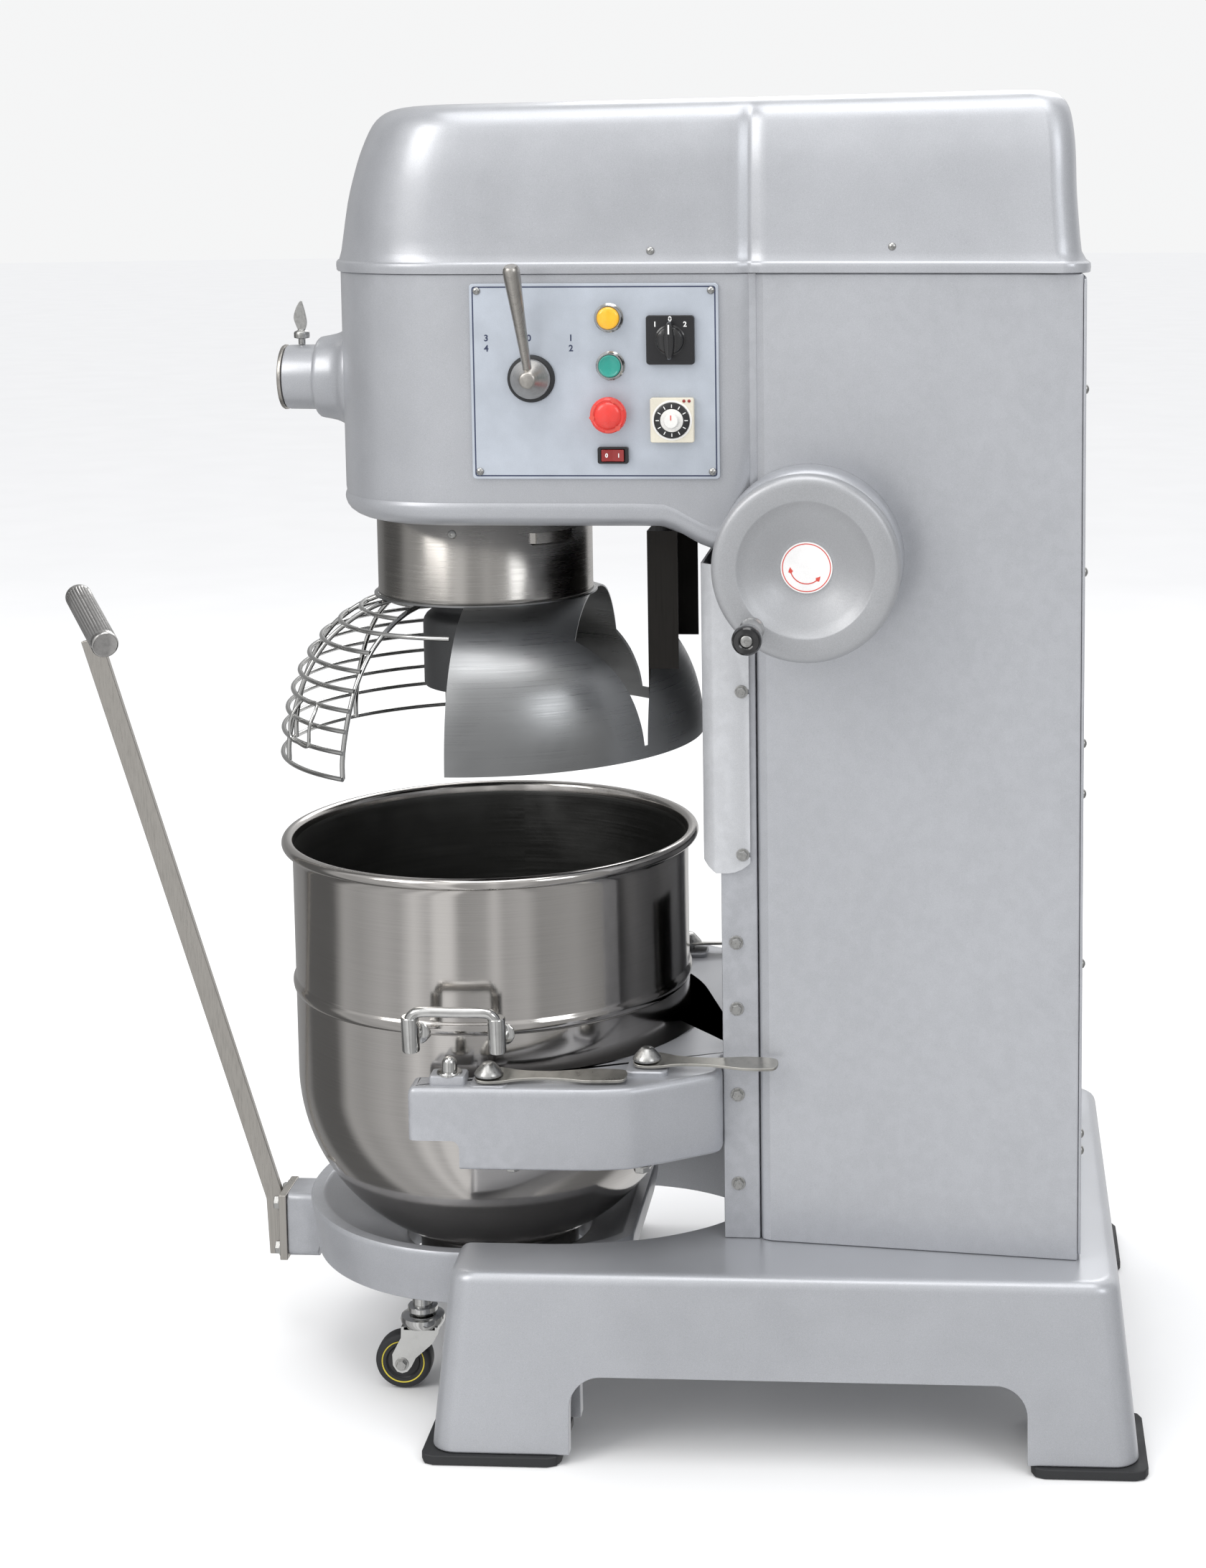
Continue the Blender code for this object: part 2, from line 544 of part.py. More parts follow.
LAMP, START, STOP = (178.2, 1231.6), (179.2, 1180.6), (178.2, 1129.1)
SEL, TIMER, ROCK, SHIFT = (243.9, 1208.1), (245.2, 1122.9), (181.0, 1085.0), (94.0, 1167.0)
bezel(LAMP[0], LAMP[1], 14.4, 12.2, 8.0)
bezel(START[0], START[1], 14.4, 12.2, 8.0)
bezel(STOP[0], STOP[1], 14.8, 11.4, 6.0)
button("lamp_button", AMBER, LAMP[0], LAMP[1], [(11.8, PF + 5.0), (11.8, PF + 10.5), (9.5, PF + 12.0)])
button("start_button", GREEN, START[0], START[1], [(11.8, PF + 5.0), (11.8, PF + 10.0), (10.5, PF + 11.0)])
button("stop_button", RED, STOP[0], STOP[1], [(11.0, PF + 5.0), (11.0, PF + 12.0), (19.5, PF + 13.5), (19.5, PF + 19.0), (15.0, PF + 23.5), (6.0, PF + 25.0)])
put(prism(rrect(SEL[0] - 25.8, SEL[0] + 25.8, SEL[1] - 26.2, SEL[1] + 26.2, 3.0, 2), PF, PF + 6.0, "X"), "selector_plate", BLACK)
knob = put(lathe([(15.0, PF + 6.3), (14.0, PF + 12.0)], 20, (0.0, SEL[0], SEL[1]), "X"), "selector_knob", BLACK,
           origin=(PF + 6.0, SEL[0], SEL[1]))
join(knob, prism(rrect(SEL[0] - 4.5, SEL[0] + 4.5, SEL[1] - 20.0, SEL[1] + 20.0, 4.0, 2), PF + 8.0, PF + 21.0, "X"))
put(prism(rrect(TIMER[0] - 23.4, TIMER[0] + 23.4, TIMER[1] - 24.0, TIMER[1] + 24.0, 2.0, 2), PF, PF + 9.0, "X"), "timer_body", CREAM)
put(lathe([(19.0, PF + 9.3), (19.0, PF + 11.5), (16.5, PF + 12.5), (7.5, PF + 12.5), (6.5, PF + 21.0)], 24, (0.0, TIMER[0], TIMER[1]), "X"),
    "timer_dial", WHITE, origin=(PF + 9.0, TIMER[0], TIMER[1]))
rf = put(prism(rrect(ROCK[0] - 16.5, ROCK[0] + 16.5, ROCK[1] - 9.0, ROCK[1] + 9.0, 1.5, 1), PF, PF + 6.0, "X"), "rocker_frame", BLACK)
cut(rf, box(PF + 1.0, PF + 20.0, ROCK[0] - 12.6, ROCK[0] + 12.6, ROCK[1] - 6.8, ROCK[1] + 6.8))
put(prism([(PF + 3.2, ROCK[0] - 3.0), (PF + 3.2, ROCK[0] + 3.0), (PF + 4.6, ROCK[0] + 11.6), (PF + 8.6, ROCK[0] + 12.2), (PF + 6.8, ROCK[0]), (PF + 8.6, ROCK[0] - 12.2),
           (PF + 4.6, ROCK[0] - 11.6)], ROCK[1] - 6.3, ROCK[1] + 6.3), "rocker_switch", RED,
    origin=(PF + 6.0, ROCK[0], ROCK[1]))
put(lathe([(24.0, PF), (24.0, PF + 5.0), (20.5, PF + 7.0), (11.0, PF + 7.0), (11.0, PF)], 18, (0.0, SHIFT[0], SHIFT[1]), "X", closed=True),
    "shift_gasket", BLACK)
lever = put(lathe([(9.5, 150.0), (9.5, PF + 7.4), (21.5, PF + 7.4), (21.0, PF + 10.0), (9.0, PF + 28.0), (7.0, PF + 30.0)], 16,
                  (0.0, SHIFT[0], SHIFT[1]), "X"), "shift_lever", BRUSHED, origin=(PF + 8.0, SHIFT[0], SHIFT[1]))
L0, L1 = Vector((PF + 19.0, SHIFT[0], SHIFT[1] + 4.0)), Vector((PF + 66.0, SHIFT[0] - 9.0, SHIFT[1] + 122.0))
lv = []
for t, r in ((0.0, 5.0), (0.55, 6.8), (0.93, 9.2), (1.0, 7.0)):
    c = L0.lerp(L1, t)
    d = (L1 - L0).normalized()
    u = d.cross(Vector((1, 0, 0))).normalized()
    w = d.cross(u)
    lv.append([tuple(c + r * (math.cos(2 * math.pi * k / 8) * u + math.sin(2 * math.pi * k / 8) * w)) for k in range(8)])
join(lever, rings(lv))

# ---- hand wheel and lift drive --------------------------------------------------------
WY, WZ = WHEEL_C


def face_x(y):
    return max(col_half(y), HEAD_HALF + 0.6 if y < 340.0 else 0.0) + 1.0


boss_loops = []
for r, xf in ((11.6, None), (100.0, None), (97.0, 252.0), (90.0, 258.0), (11.6, 258.0)):
    lp = []
    for k in range(28):
        a = 2 * math.pi * k / 28
        y, z = WY + r * math.cos(a), WZ + r * math.sin(a)
        lp.append(((face_x(y) if xf is None else xf), y, z))
    boss_loops.append(lp)
put(rings(boss_loops, closed=True), "wheel_boss", PAINT)
wheel = put(lathe([(11.4, 262.0), (40.0, 262.0), (60.0, 282.0), (WHEEL_R - 3.0, 292.0), (WHEEL_R, 300.0), (WHEEL_R, 306.0), (WHEEL_R - 4.0, 314.0),
           (WHEEL_R - 12.0, 317.5), (72.0, 317.5), (66.0, 314.0), (30.0, 297.0), (11.4, 296.0)], 28, (0.0, WY, WZ), "X", closed=True),
    "hand_wheel", PAINT, origin=(290.0, WY, WZ))
put(lathe([(22.0, 22.0), (36.0, 36.0), (36.0, 44.0), (11.0, 46.0), (11.0, 297.5)], 24, (0.0, WY, WZ), "X"),
    "wheel_shaft", GEAR, origin=(290.0, WY, WZ))
CY, CZ = WY - 55.0, WZ - 60.0
join(wheel, lathe([(8.5, 311.0), (8.5, 326.0), (11.5, 330.0), (11.0, 372.0), (9.5, 380.0)], 16, (0.0, CY, CZ), "X"))
put(lathe([(12.0, 381.0), (15.5, 384.0), (15.5, 396.0), (12.0, 401.0), (5.0, 402.0)], 20, (0.0, CY, CZ), "X"), "crank_knob", BLACK,
    origin=(390.0, CY, CZ))
put(lathe([(12.0, BASE_TOP + GAP), (12.0, 226.0), (16.0, 228.0), (16.0, 925.0), (35.4, 938.5), (21.6, 952.0)], 16, (0.0, SCREW_Y, 0.0)), "lift_screw", GEAR,
    origin=(0.0, SCREW_Y, 600.0))

# ---- slide ways and cover ---------------------------------------------------------------
for nm, s in (("slide_way_near", 1.0), ("slide_way_far", -1.0)):
    put(box(*sorted((165.0 * s, 206.0 * s)), 290.0, COL_Y[0] - GAP, BASE_TOP + GAP, 970.0), nm, PAINT)
put(prism([(-211.0, 270.5), (211.0, 270.5), (211.0, 323.0), (208.5, 323.0), (208.5, 273.0), (-208.5, 273.0), (-208.5, 323.0), (-211.0, 323.0)],
          624.0, 965.0), "way_cover", PAINT)

# ---- bowl carriage ---------------------------------------------------------------------
YK_Z = (312.0, 404.0)
yoke_poly = [(290.0, -46.0), (290.0, 170.0), (283.0, 196.0), (226.0, 289.6), (164.6, 289.6), (164.6, 322.0),
             (-164.6, 322.0), (-164.6, 289.6), (-226.0, 289.6), (-283.0, 196.0), (-290.0, 170.0), (-290.0, -46.0)]
inner = [(-248.0, -46.0)] + [(248.0 * math.cos(math.radians(a)), 248.0 * math.sin(math.radians(a))) for a in range(180, -1, -15)] + [(248.0, -46.0)]
yoke = put(prism(yoke_poly + inner, YK_Z[0], YK_Z[1]), "bowl_carriage", PAINT)
cut(yoke, box(-320.0, 320.0, -80.0, 10.0, 280.0, 345.0))
join(yoke, box(-27.0, 27.0, 300.0, SCREW_Y, 330.0, 372.0))
join(yoke, lathe([(30.0, 326.0), (30.0, 376.0)], 16, (0.0, SCREW_Y, 0.0)))
cut(yoke, lathe([(16.8, 300.0), (16.8, 400.0)], 16, (0.0, SCREW_Y, 0.0)))
LATCH = []
for side, s in (("near", 1.0), ("far", -1.0)):
    for k, (px, py, tx, ty) in enumerate(((266.0, 40.0, 262.0, 190.0), (222.0, 208.0, 232.0, 352.0))):
        zb = YK_Z[1] + 5.0
        nm = "latch_%s_%s" % (side, "front" if k == 0 else "rear")
        d = Vector((tx - px, ty - py))
        ln = d.length
        d.normalize()
        nn = Vector((d.y, -d.x))
        out = []
        for t, w in ((-14.0, 8.0), (-6.0, 14.0), (12.0, 14.0), (46.0, 7.5), (80.0, 8.0), (112.0, 12.0), (ln - 8.0, 11.0), (ln, 6.0)):
            out.append((Vector((px, py)) + d * t + nn * w))
        poly = [(p.x * s, p.y) for p in out]
        out2 = [(Vector((px, py)) + d * t - nn * w) for t, w in ((ln, 6.0), (ln - 8.0, 11.0), (112.0, 12.0), (80.0, 8.0), (46.0, 7.5), (12.0, 14.0), (-6.0, 14.0), (-14.0, 8.0))]
        poly += [(p.x * s, p.y) for p in out2]
        z0 = zb + (0.0 if k == 0 else 4.6)
        lat = put(prism(poly, z0, z0 + 3.4), nm, BRUSHED, origin=(px * s, py, z0))
        join(lat, lathe([(7.0, YK_Z[1] + 0.4), (7.0, z0 + 2.0), (16.0, z0 + 2.6), (13.0, z0 + 9.0), (5.0, z0 + 17.0)], 10, (px * s, py, 0.0)))
        LATCH.append(nm)
    join(yoke, box(*sorted((252.0 * s, 280.0 * s)), -20.0, 14.0, YK_Z[1] - 2.0, 414.0))
    join(yoke, lathe([(6.0, 410.0), (8.0, 420.0), (8.0, 424.0), (4.0, 432.0)], 12, (267.0 * s, -3.0, 0.0)))

# ---- bowl -------------------------------------------------------------------------------
def bowl_profile():
    out = [(0.0, 0.0)]
    prof = []
    n = 7
    for k in range(n + 1):
        a = math.radians(66.0 * (1.0 - k / float(n)))
        prof.append((BOWL_R * math.cos(a), BOWL_SPHERE_Z - BOWL_DEPTH * math.sin(a)))
    prof += [(BOWL_R + 2.0, BOWL_SEAM_Z - 7.0), (BOWL_R + 3.2, BOWL_SEAM_Z), (BOWL_R + 1.0, BOWL_SEAM_Z + 7.0), (BOWL_R, 604.0)]
    for k in range(5):
        a = math.radians(-150.0 + 75.0 * k)
        prof.append((236.6 + 6.8 * math.cos(a), BOWL_RIM_Z + 6.8 * math.sin(a)))
    t = 2.2
    prof += [(BOWL_R - t, 606.0), (BOWL_R - t, BOWL_SEAM_Z)]
    for k in range(n + 1):
        a = math.radians(84.0 * k / n)
        prof.append(((BOWL_R - t) * math.cos(a), BOWL_SPHERE_Z - (BOWL_DEPTH - t) * math.sin(a)))
    return prof


prof = bowl_profile()
foot = [(40.0, 120.4), (88.0, 120.4), (88.0, 100.4), (94.0, 100.4), (94.0, prof[0][1] - 0.1)]
bowl = put(lathe([(40.0, 120.4)] + foot[1:] + prof, 40), "bowl", STEEL)
for side, s in (("near", 1.0), ("far", -1.0)):
    pts = [(232.0 * s, -44.0, 446.0), (262.0 * s, -44.0, 449.0), (276.0 * s, -44.0, 458.0), (281.0 * s, -42.0, 478.0), (281.0 * s, -32.0, 486.0),
           (281.0 * s, 40.0, 486.0), (281.0 * s, 50.0, 478.0), (276.0 * s, 52.0, 458.0), (262.0 * s, 52.0, 449.0), (232.0 * s, 52.0, 446.0)]
    h = put(tube(pts, 6.0, 6), "bowl_handle_%s" % side, STEEL)
    cut(h, box(*sorted((200.0 * s, 236.6 * s)), -80.0, 80.0, 430.0, 500.0))

# ---- trolley ------------------------------------------------------------------------------
def clipped(r, n, ymax):
    return [(x, min(y, ymax)) for x, y in circle(r, n)]


def tl(r, z, ymax):
    """Ring of the dish, cut flat at the rear, where its rim is also lower."""
    drop = 12.0 if z > 150.0 else 0.0
    return [(x, y, z - drop * min(max((y - 40.0) / 110.0, 0.0), 1.0)) for x, y in clipped(r, 36, ymax)]


dish = put(rings([tl(118.0, 92.0, 112.0), tl(118.0, 126.0, 112.0), tl(213.0, 126.0, 170.0), tl(TROLLEY_R, 186.0, 178.0), tl(TROLLEY_R - 2.5, 189.0, 176.0), tl(206.0, 189.0, 164.0),
                  tl(203.0, 186.0, 161.0), tl(120.0, 138.0, 114.0), tl(110.0, 134.0, 110.0), tl(110.0, 92.0, 110.0)], closed=True),
           "trolley_dish", PAINT)
spider = put(lathe([(60.0, 92.0), (60.0, 100.0), (98.0, 100.0), (98.0, 92.0)], 32, closed=True), "add_trolley_seat", None, smooth=0, cutter=True)
boolean(dish, spider, "UNION")
join(dish, box(-116.0, -66.0, -12.0, 12.0, 92.4, 99.6))
join(dish, box(66.0, 116.0, -12.0, 12.0, 92.4, 99.6))
join(dish, box(-30.0, 30.0, -251.0, -206.0, 127.0, 178.0))
join(dish, box(-30.0, 30.0, -251.0, -222.0, 98.0, 132.0))
CASTERS = {"near": (150.0, -64.0), "far": (-150.0, -64.0), "rear": (0.0, 142.0)}
bar_pts = [(0.0, -269.5, 92.0), (0.0, -272.0, 162.0), (54.0, -452.5, 852.6)]


def bar_loop(c, w, t, lean):
    cx, cy, cz = c
    return [(cx - t, cy - w, cz - lean), (cx + t, cy - w, cz - lean), (cx + t, cy + w, cz + lean), (cx - t, cy + w, cz + lean)]


bar = put(rings([bar_loop(bar_pts[0], 10.6, 4.0, 0.0), bar_loop(bar_pts[1], 10.6, 4.0, 1.0), bar_loop(bar_pts[2], 11.5, 4.0, 3.0)]), "handle_bar", BRUSHED)
join(bar, box(-32.0, 32.0, -260.6, -251.4, 96.0, 176.0))
gdir = Vector((math.cos(0.506) * math.cos(0.218), math.sin(0.506) * math.cos(0.218), -math.sin(0.218)))
gc = Vector((50.0, -453.0, 874.0))
gu = gdir.cross(Vector((0, 0, 1))).normalized()
gw = gdir.cross(gu)
put(rings([[tuple(gc + gdir * h + r * (math.cos(2 * math.pi * k / 20) * gu + math.sin(2 * math.pi * k / 20) * gw)) for k in range(20)]
           for h, r in ((-80.0, 13.5), (-78.0, 15.5), (78.0, 15.5), (80.0, 13.5))]), "handle_grip", STEEL)
for nm, (cx, cy) in CASTERS.items():
    d = -22.0
    fork = put(lathe([(21.0, 125.6), (21.0, 121.0), (11.0, 119.0), (11.0, 88.0), (24.0, 83.0), (24.0, 74.0)], 16, (cx, cy, 0.0)), "caster_fork_%s" % nm, STEEL, origin=(cx, cy, 80.0))
    fp = [(cy + 20.0, 76.0), (cy + d + 9.0, 24.0), (cy + d - 9.0, 24.0), (cy - 22.0, 76.0)]
    join(fork, prism(fp, cx + 15.0, cx + 18.0, "X"))
    join(fork, prism(fp, cx - 18.0, cx - 15.0, "X"))
    put(lathe([(CASTER_R - 5.0, -12.0), (CASTER_R, -8.0), (CASTER_R, 8.0), (CASTER_R - 5.0, 12.0)], 28, (cx, cy + d, CASTER_R), "X"),
        "caster_wheel_%s" % nm, RUBBER, origin=(cx, cy + d, CASTER_R))
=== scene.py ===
import json
import math

import bmesh
import bpy
from mathutils import Matrix, Vector

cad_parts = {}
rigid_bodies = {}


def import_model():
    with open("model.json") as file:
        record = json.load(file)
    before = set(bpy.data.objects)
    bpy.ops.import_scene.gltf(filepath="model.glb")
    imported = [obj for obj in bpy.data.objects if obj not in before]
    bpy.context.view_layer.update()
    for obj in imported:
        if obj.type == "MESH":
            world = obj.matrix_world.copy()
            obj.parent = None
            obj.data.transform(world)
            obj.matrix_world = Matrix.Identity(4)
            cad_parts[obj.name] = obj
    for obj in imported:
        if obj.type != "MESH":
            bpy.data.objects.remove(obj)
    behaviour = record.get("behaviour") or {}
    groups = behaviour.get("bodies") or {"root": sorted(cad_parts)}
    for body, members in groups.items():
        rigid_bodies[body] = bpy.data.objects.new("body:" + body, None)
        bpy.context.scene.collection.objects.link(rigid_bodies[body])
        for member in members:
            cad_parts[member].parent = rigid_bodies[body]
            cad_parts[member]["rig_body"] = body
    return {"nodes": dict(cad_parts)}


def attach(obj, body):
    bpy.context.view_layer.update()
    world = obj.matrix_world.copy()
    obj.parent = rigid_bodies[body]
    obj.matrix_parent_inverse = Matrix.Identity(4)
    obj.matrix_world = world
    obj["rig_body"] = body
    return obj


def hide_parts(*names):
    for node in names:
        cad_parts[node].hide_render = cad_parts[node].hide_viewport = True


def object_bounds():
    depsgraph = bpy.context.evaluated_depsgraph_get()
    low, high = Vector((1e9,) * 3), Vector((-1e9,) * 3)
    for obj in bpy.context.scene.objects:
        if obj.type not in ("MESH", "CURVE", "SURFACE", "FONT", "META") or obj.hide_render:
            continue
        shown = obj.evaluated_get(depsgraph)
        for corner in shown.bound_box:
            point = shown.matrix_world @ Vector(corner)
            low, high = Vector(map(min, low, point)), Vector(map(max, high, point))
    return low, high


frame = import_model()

NODES = frame["nodes"]
CAD_LO, CAD_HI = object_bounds()
# Machine frame in mm: origin on the planetary axis at the floor, -Y the front, +X the operator side.
OX = CAD_LO.x * 1000.0 + 341.0
OY = CAD_HI.y * 1000.0 - 753.0
SCENE = bpy.context.scene


def world(x, y, z):
    return Vector(((x + OX) * 0.001, (y + OY) * 0.001, z * 0.001))


# ------------------------------------------------------------------ materials
def mat_base(name):
    m = bpy.data.materials.new(name)
    m.use_nodes = True
    nt = m.node_tree
    b = nt.nodes["Principled BSDF"]
    tc = nt.nodes.new("ShaderNodeTexCoord")
    return m, nt, b, tc.outputs["Object"]


def mapped(nt, vec, scale, rot=(0, 0, 0)):
    n = nt.nodes.new("ShaderNodeMapping")
    n.inputs["Scale"].default_value = scale
    n.inputs["Rotation"].default_value = rot
    nt.links.new(vec, n.inputs["Vector"])
    return n.outputs["Vector"]


def noise(nt, vec, scale, detail=2.0, rough=0.5, distort=0.0):
    n = nt.nodes.new("ShaderNodeTexNoise")
    n.inputs["Scale"].default_value = scale
    n.inputs["Detail"].default_value = detail
    n.inputs["Roughness"].default_value = rough
    n.inputs["Distortion"].default_value = distort
    nt.links.new(vec, n.inputs["Vector"])
    return n.outputs["Fac"]


def ramp(nt, fac, stops, interp="LINEAR"):
    n = nt.nodes.new("ShaderNodeValToRGB")
    n.color_ramp.interpolation = interp
    els = n.color_ramp.elements
    while len(els) < len(stops):
        els.new(0.5)
    for e, (p, c) in zip(els, stops):
        e.position = p
        e.color = (c[0], c[1], c[2], 1.0) if hasattr(c, "__len__") else (c, c, c, 1.0)
    nt.links.new(fac, n.inputs["Fac"])
    return n.outputs["Color"]


def mixc(nt, a, b, fac, mode="MIX"):
    n = nt.nodes.new("ShaderNodeMix")
    n.data_type = "RGBA"
    n.blend_type = mode
    for sock, val in ((n.inputs[6], a), (n.inputs[7], b), (n.inputs[0], fac)):
        if hasattr(val, "node"):
            nt.links.new(val, sock)
        elif hasattr(val, "__len__"):
            sock.default_value = (val[0], val[1], val[2], 1.0)
        else:
            sock.default_value = val
    return n.outputs[2]


def span(nt, fac, lo, hi, a=0.0, b=1.0):
    n = nt.nodes.new("ShaderNodeMapRange")
    for k, v in (("From Min", a), ("From Max", b), ("To Min", lo), ("To Max", hi)):
        n.inputs[k].default_value = v
    nt.links.new(fac, n.inputs["Value"])
    return n.outputs["Result"]


def bump(nt, b, heights):
    prev = None
    for h, strength, dist in heights:
        n = nt.nodes.new("ShaderNodeBump")
        n.inputs["Strength"].default_value = strength
        n.inputs["Distance"].default_value = dist
        nt.links.new(h, n.inputs["Height"])
        if prev is not None:
            nt.links.new(prev, n.inputs["Normal"])
        prev = n.outputs["Normal"]
    nt.links.new(prev, b.inputs["Normal"])


def pointiness(nt):
    return nt.nodes.new("ShaderNodeNewGeometry").outputs["Pointiness"]


def tint(c, k):
    return tuple(min(v * k, 1.0) for v in c)


def enamel(name, rgb, metallic=0.6, rough=(0.30, 0.40), coat=0.25, peel=0.05, edge=0.35, spots=0.0):
    """Metallic machine enamel: fine flake, soft clouding, orange peel, rubbed edges, painted shade in hollows."""
    m, nt, b, v = mat_base(name)
    flake = noise(nt, v, 1500.0, 1.0, 0.6)
    cloud = noise(nt, v, 2.6, 3.0, 0.55)
    mid = noise(nt, v, 16.0, 3.0, 0.6)
    col = ramp(nt, cloud, [(0.30, tint(rgb, 0.95)), (0.52, rgb), (0.72, tint(rgb, 1.05))])
    col = mixc(nt, col, ramp(nt, flake, [(0.30, 0.80), (0.52, 1.0), (0.75, 1.22)]), 0.55, "MULTIPLY")
    col = mixc(nt, col, ramp(nt, mid, [(0.30, 0.95), (0.70, 1.03)]), 0.6, "MULTIPLY")
    pt = pointiness(nt)
    rub = ramp(nt, pt, [(0.515, 0.0), (0.60, 1.0)])
    # painted shade: concave hollows and creases (low pointiness) are darkened towards 0.62 of the paint colour
    hollow_shade = ramp(nt, pt, [(0.42, 1.0), (0.49, 0.0)])
    wear = mixc(nt, (0.0, 0.0, 0.0), rub, ramp(nt, noise(nt, v, 70.0, 3.0), [(0.42, 0.15), (0.62, edge)]))
    col = mixc(nt, col, tint(rgb, 1.35), wear)
    # lay the painted shade into the hollows
    col = mixc(nt, col, tint(rgb, 0.62), mixc(nt, (0.0, 0.0, 0.0), hollow_shade, 0.5))
    nt.links.new(col, b.inputs["Base Color"])
    nt.links.new(span(nt, mid, rough[0], rough[1], 0.3, 0.7), b.inputs["Roughness"])
    b.inputs["Metallic"].default_value = metallic
    b.inputs["Coat Weight"].default_value = coat
    b.inputs["Coat Roughness"].default_value = 0.16
    bump(nt, b, [(noise(nt, v, 240.0, 2.0), peel, 0.0006), (flake, 0.02, 0.0002)])
    return m


def steel(name, rgb, rough, stretch, grain=0.25, fine=0.06, smudge=0.35, rings=None, edge=0.2):
    """Stainless sheet: grain drawn out along one way, faint smears, slightly brighter worn edges."""
    m, nt, b, v = mat_base(name)
    if rings is not None:
        # grain that runs round an upright axis at `rings`
        sub = nt.nodes.new("ShaderNodeVectorMath")
        sub.operation = "SUBTRACT"
        sub.inputs[1].default_value = rings
        nt.links.new(v, sub.inputs[0])
        sep = nt.nodes.new("ShaderNodeSeparateXYZ")
        nt.links.new(sub.outputs[0], sep.inputs[0])
        sq = []
        for k in ("X", "Y"):
            p = nt.nodes.new("ShaderNodeMath")
            p.operation = "POWER"
            p.inputs[1].default_value = 2.0
            nt.links.new(sep.outputs[k], p.inputs[0])
            sq.append(p.outputs[0])
        ad = nt.nodes.new("ShaderNodeMath")
        nt.links.new(sq[0], ad.inputs[0])
        nt.links.new(sq[1], ad.inputs[1])
        rt = nt.nodes.new("ShaderNodeMath")
        rt.operation = "SQRT"
        nt.links.new(ad.outputs[0], rt.inputs[0])
        at = nt.nodes.new("ShaderNodeMath")
        at.operation = "ARCTAN2"
        nt.links.new(sep.outputs["Y"], at.inputs[0])
        nt.links.new(sep.outputs["X"], at.inputs[1])
        cmb = nt.nodes.new("ShaderNodeCombineXYZ")
        nt.links.new(rt.outputs[0], cmb.inputs["X"])
        nt.links.new(at.outputs[0], cmb.inputs["Y"])
        nt.links.new(sep.outputs["Z"], cmb.inputs["Z"])
        gv = mapped(nt, cmb.outputs[0], (900.0, 1.4, 900.0))
    else:
        gv = mapped(nt, v, stretch)
    g = noise(nt, gv, 1.0, 3.0, 0.65)
    sm = noise(nt, v, 9.0, 4.0, 0.6, 0.6)
    spots = noise(nt, v, 420.0, 2.0, 0.6)
    col = ramp(nt, g, [(0.30, tint(rgb, 1.0 - grain)), (0.5, rgb), (0.72, tint(rgb, 1.0 + grain * 0.5))])
    col = mixc(nt, col, ramp(nt, sm, [(0.35, 0.90), (0.65, 1.0)]), smudge, "MULTIPLY")
    rub = ramp(nt, pointiness(nt), [(0.52, 0.0), (0.62, 1.0)])
    col = mixc(nt, col, tint(rgb, 1.3), mixc(nt, (0.0, 0.0, 0.0), rub, edge))
    nt.links.new(col, b.inputs["Base Color"])
    r1 = span(nt, g, rough * 0.8, rough * 1.25, 0.3, 0.7)
    r2 = span(nt, sm, 0.0, rough * 0.35, 0.45, 0.75)
    ad2 = nt.nodes.new("ShaderNodeMath")
    nt.links.new(r1, ad2.inputs[0])
    nt.links.new(r2, ad2.inputs[1])
    nt.links.new(ad2.outputs[0], b.inputs["Roughness"])
    b.inputs["Metallic"].default_value = 1.0
    bump(nt, b, [(g, fine, 0.0004), (spots, fine * 0.4, 0.0002)])
    return m


def moulded(name, rgb, rough=0.42, tex=420.0, strength=0.12, coat=0.0, edge=0.25, sub=0.0):
    """Moulded plastic or rubber: fine texture, patchy sheen, scuffed edges."""
    m, nt, b, v = mat_base(name)
    t = noise(nt, v, tex, 3.0, 0.6)
    p = noise(nt, v, 22.0, 3.0, 0.55)
    col = ramp(nt, p, [(0.30, tint(rgb, 0.90)), (0.55, rgb), (0.75, tint(rgb, 1.08))])
    col = mixc(nt, col, ramp(nt, t, [(0.30, 0.93), (0.70, 1.05)]), 0.6, "MULTIPLY")
    rub = ramp(nt, pointiness(nt), [(0.52, 0.0), (0.64, 1.0)])
    up = tuple(min(v2 * 1.25 + 0.03, 1.0) for v2 in rgb)
    col = mixc(nt, col, up, mixc(nt, (0.0, 0.0, 0.0), rub, edge))
    nt.links.new(col, b.inputs["Base Color"])
    nt.links.new(span(nt, p, rough * 0.85, rough * 1.2, 0.3, 0.7), b.inputs["Roughness"])
    b.inputs["Coat Weight"].default_value = coat
    b.inputs["Coat Roughness"].default_value = 0.08
    if sub:
        b.inputs["Subsurface Weight"].default_value = sub
        b.inputs["Subsurface Scale"].default_value = 0.004
    bump(nt, b, [(t, strength, 0.0004)])
    return m


AXIS = ((0 + OX) * 0.001, (0 + OY) * 0.001, 0.0)
PAINT = enamel("enamel_silver", (0.455, 0.466, 0.492), metallic=0.46, rough=(0.30, 0.40))
PAINT_CAST = enamel("enamel_cast", (0.43, 0.44, 0.466), metallic=0.46, rough=(0.34, 0.46), peel=0.12, edge=0.5)
PAINT_WHEEL = enamel("enamel_wheel", (0.42, 0.427, 0.442), metallic=0.50, rough=(0.38, 0.46), coat=0.0, peel=0.18, edge=0.4)
PAINT_LIGHT = enamel("enamel_pale", (0.54, 0.55, 0.57), metallic=0.34, rough=(0.36, 0.46), peel=0.08)
BOWL_OUT = steel("steel_bowl", (0.56, 0.54, 0.52), 0.12, None, 0.05, 0.008, 0.3, rings=AXIS)
# painted shade: the bowl's inside is the same stainless, given a dark grey colour for the shade inside the hollow
BOWL_IN_SHADED = steel("steel_bowl_inside_painted_shade", (0.23, 0.23, 0.225), 0.36, None, 0.10, 0.02, 0.5, rings=AXIS)
def polar(r, deg, z):
    return (r * math.cos(math.radians(deg)), r * math.sin(math.radians(deg)), z)


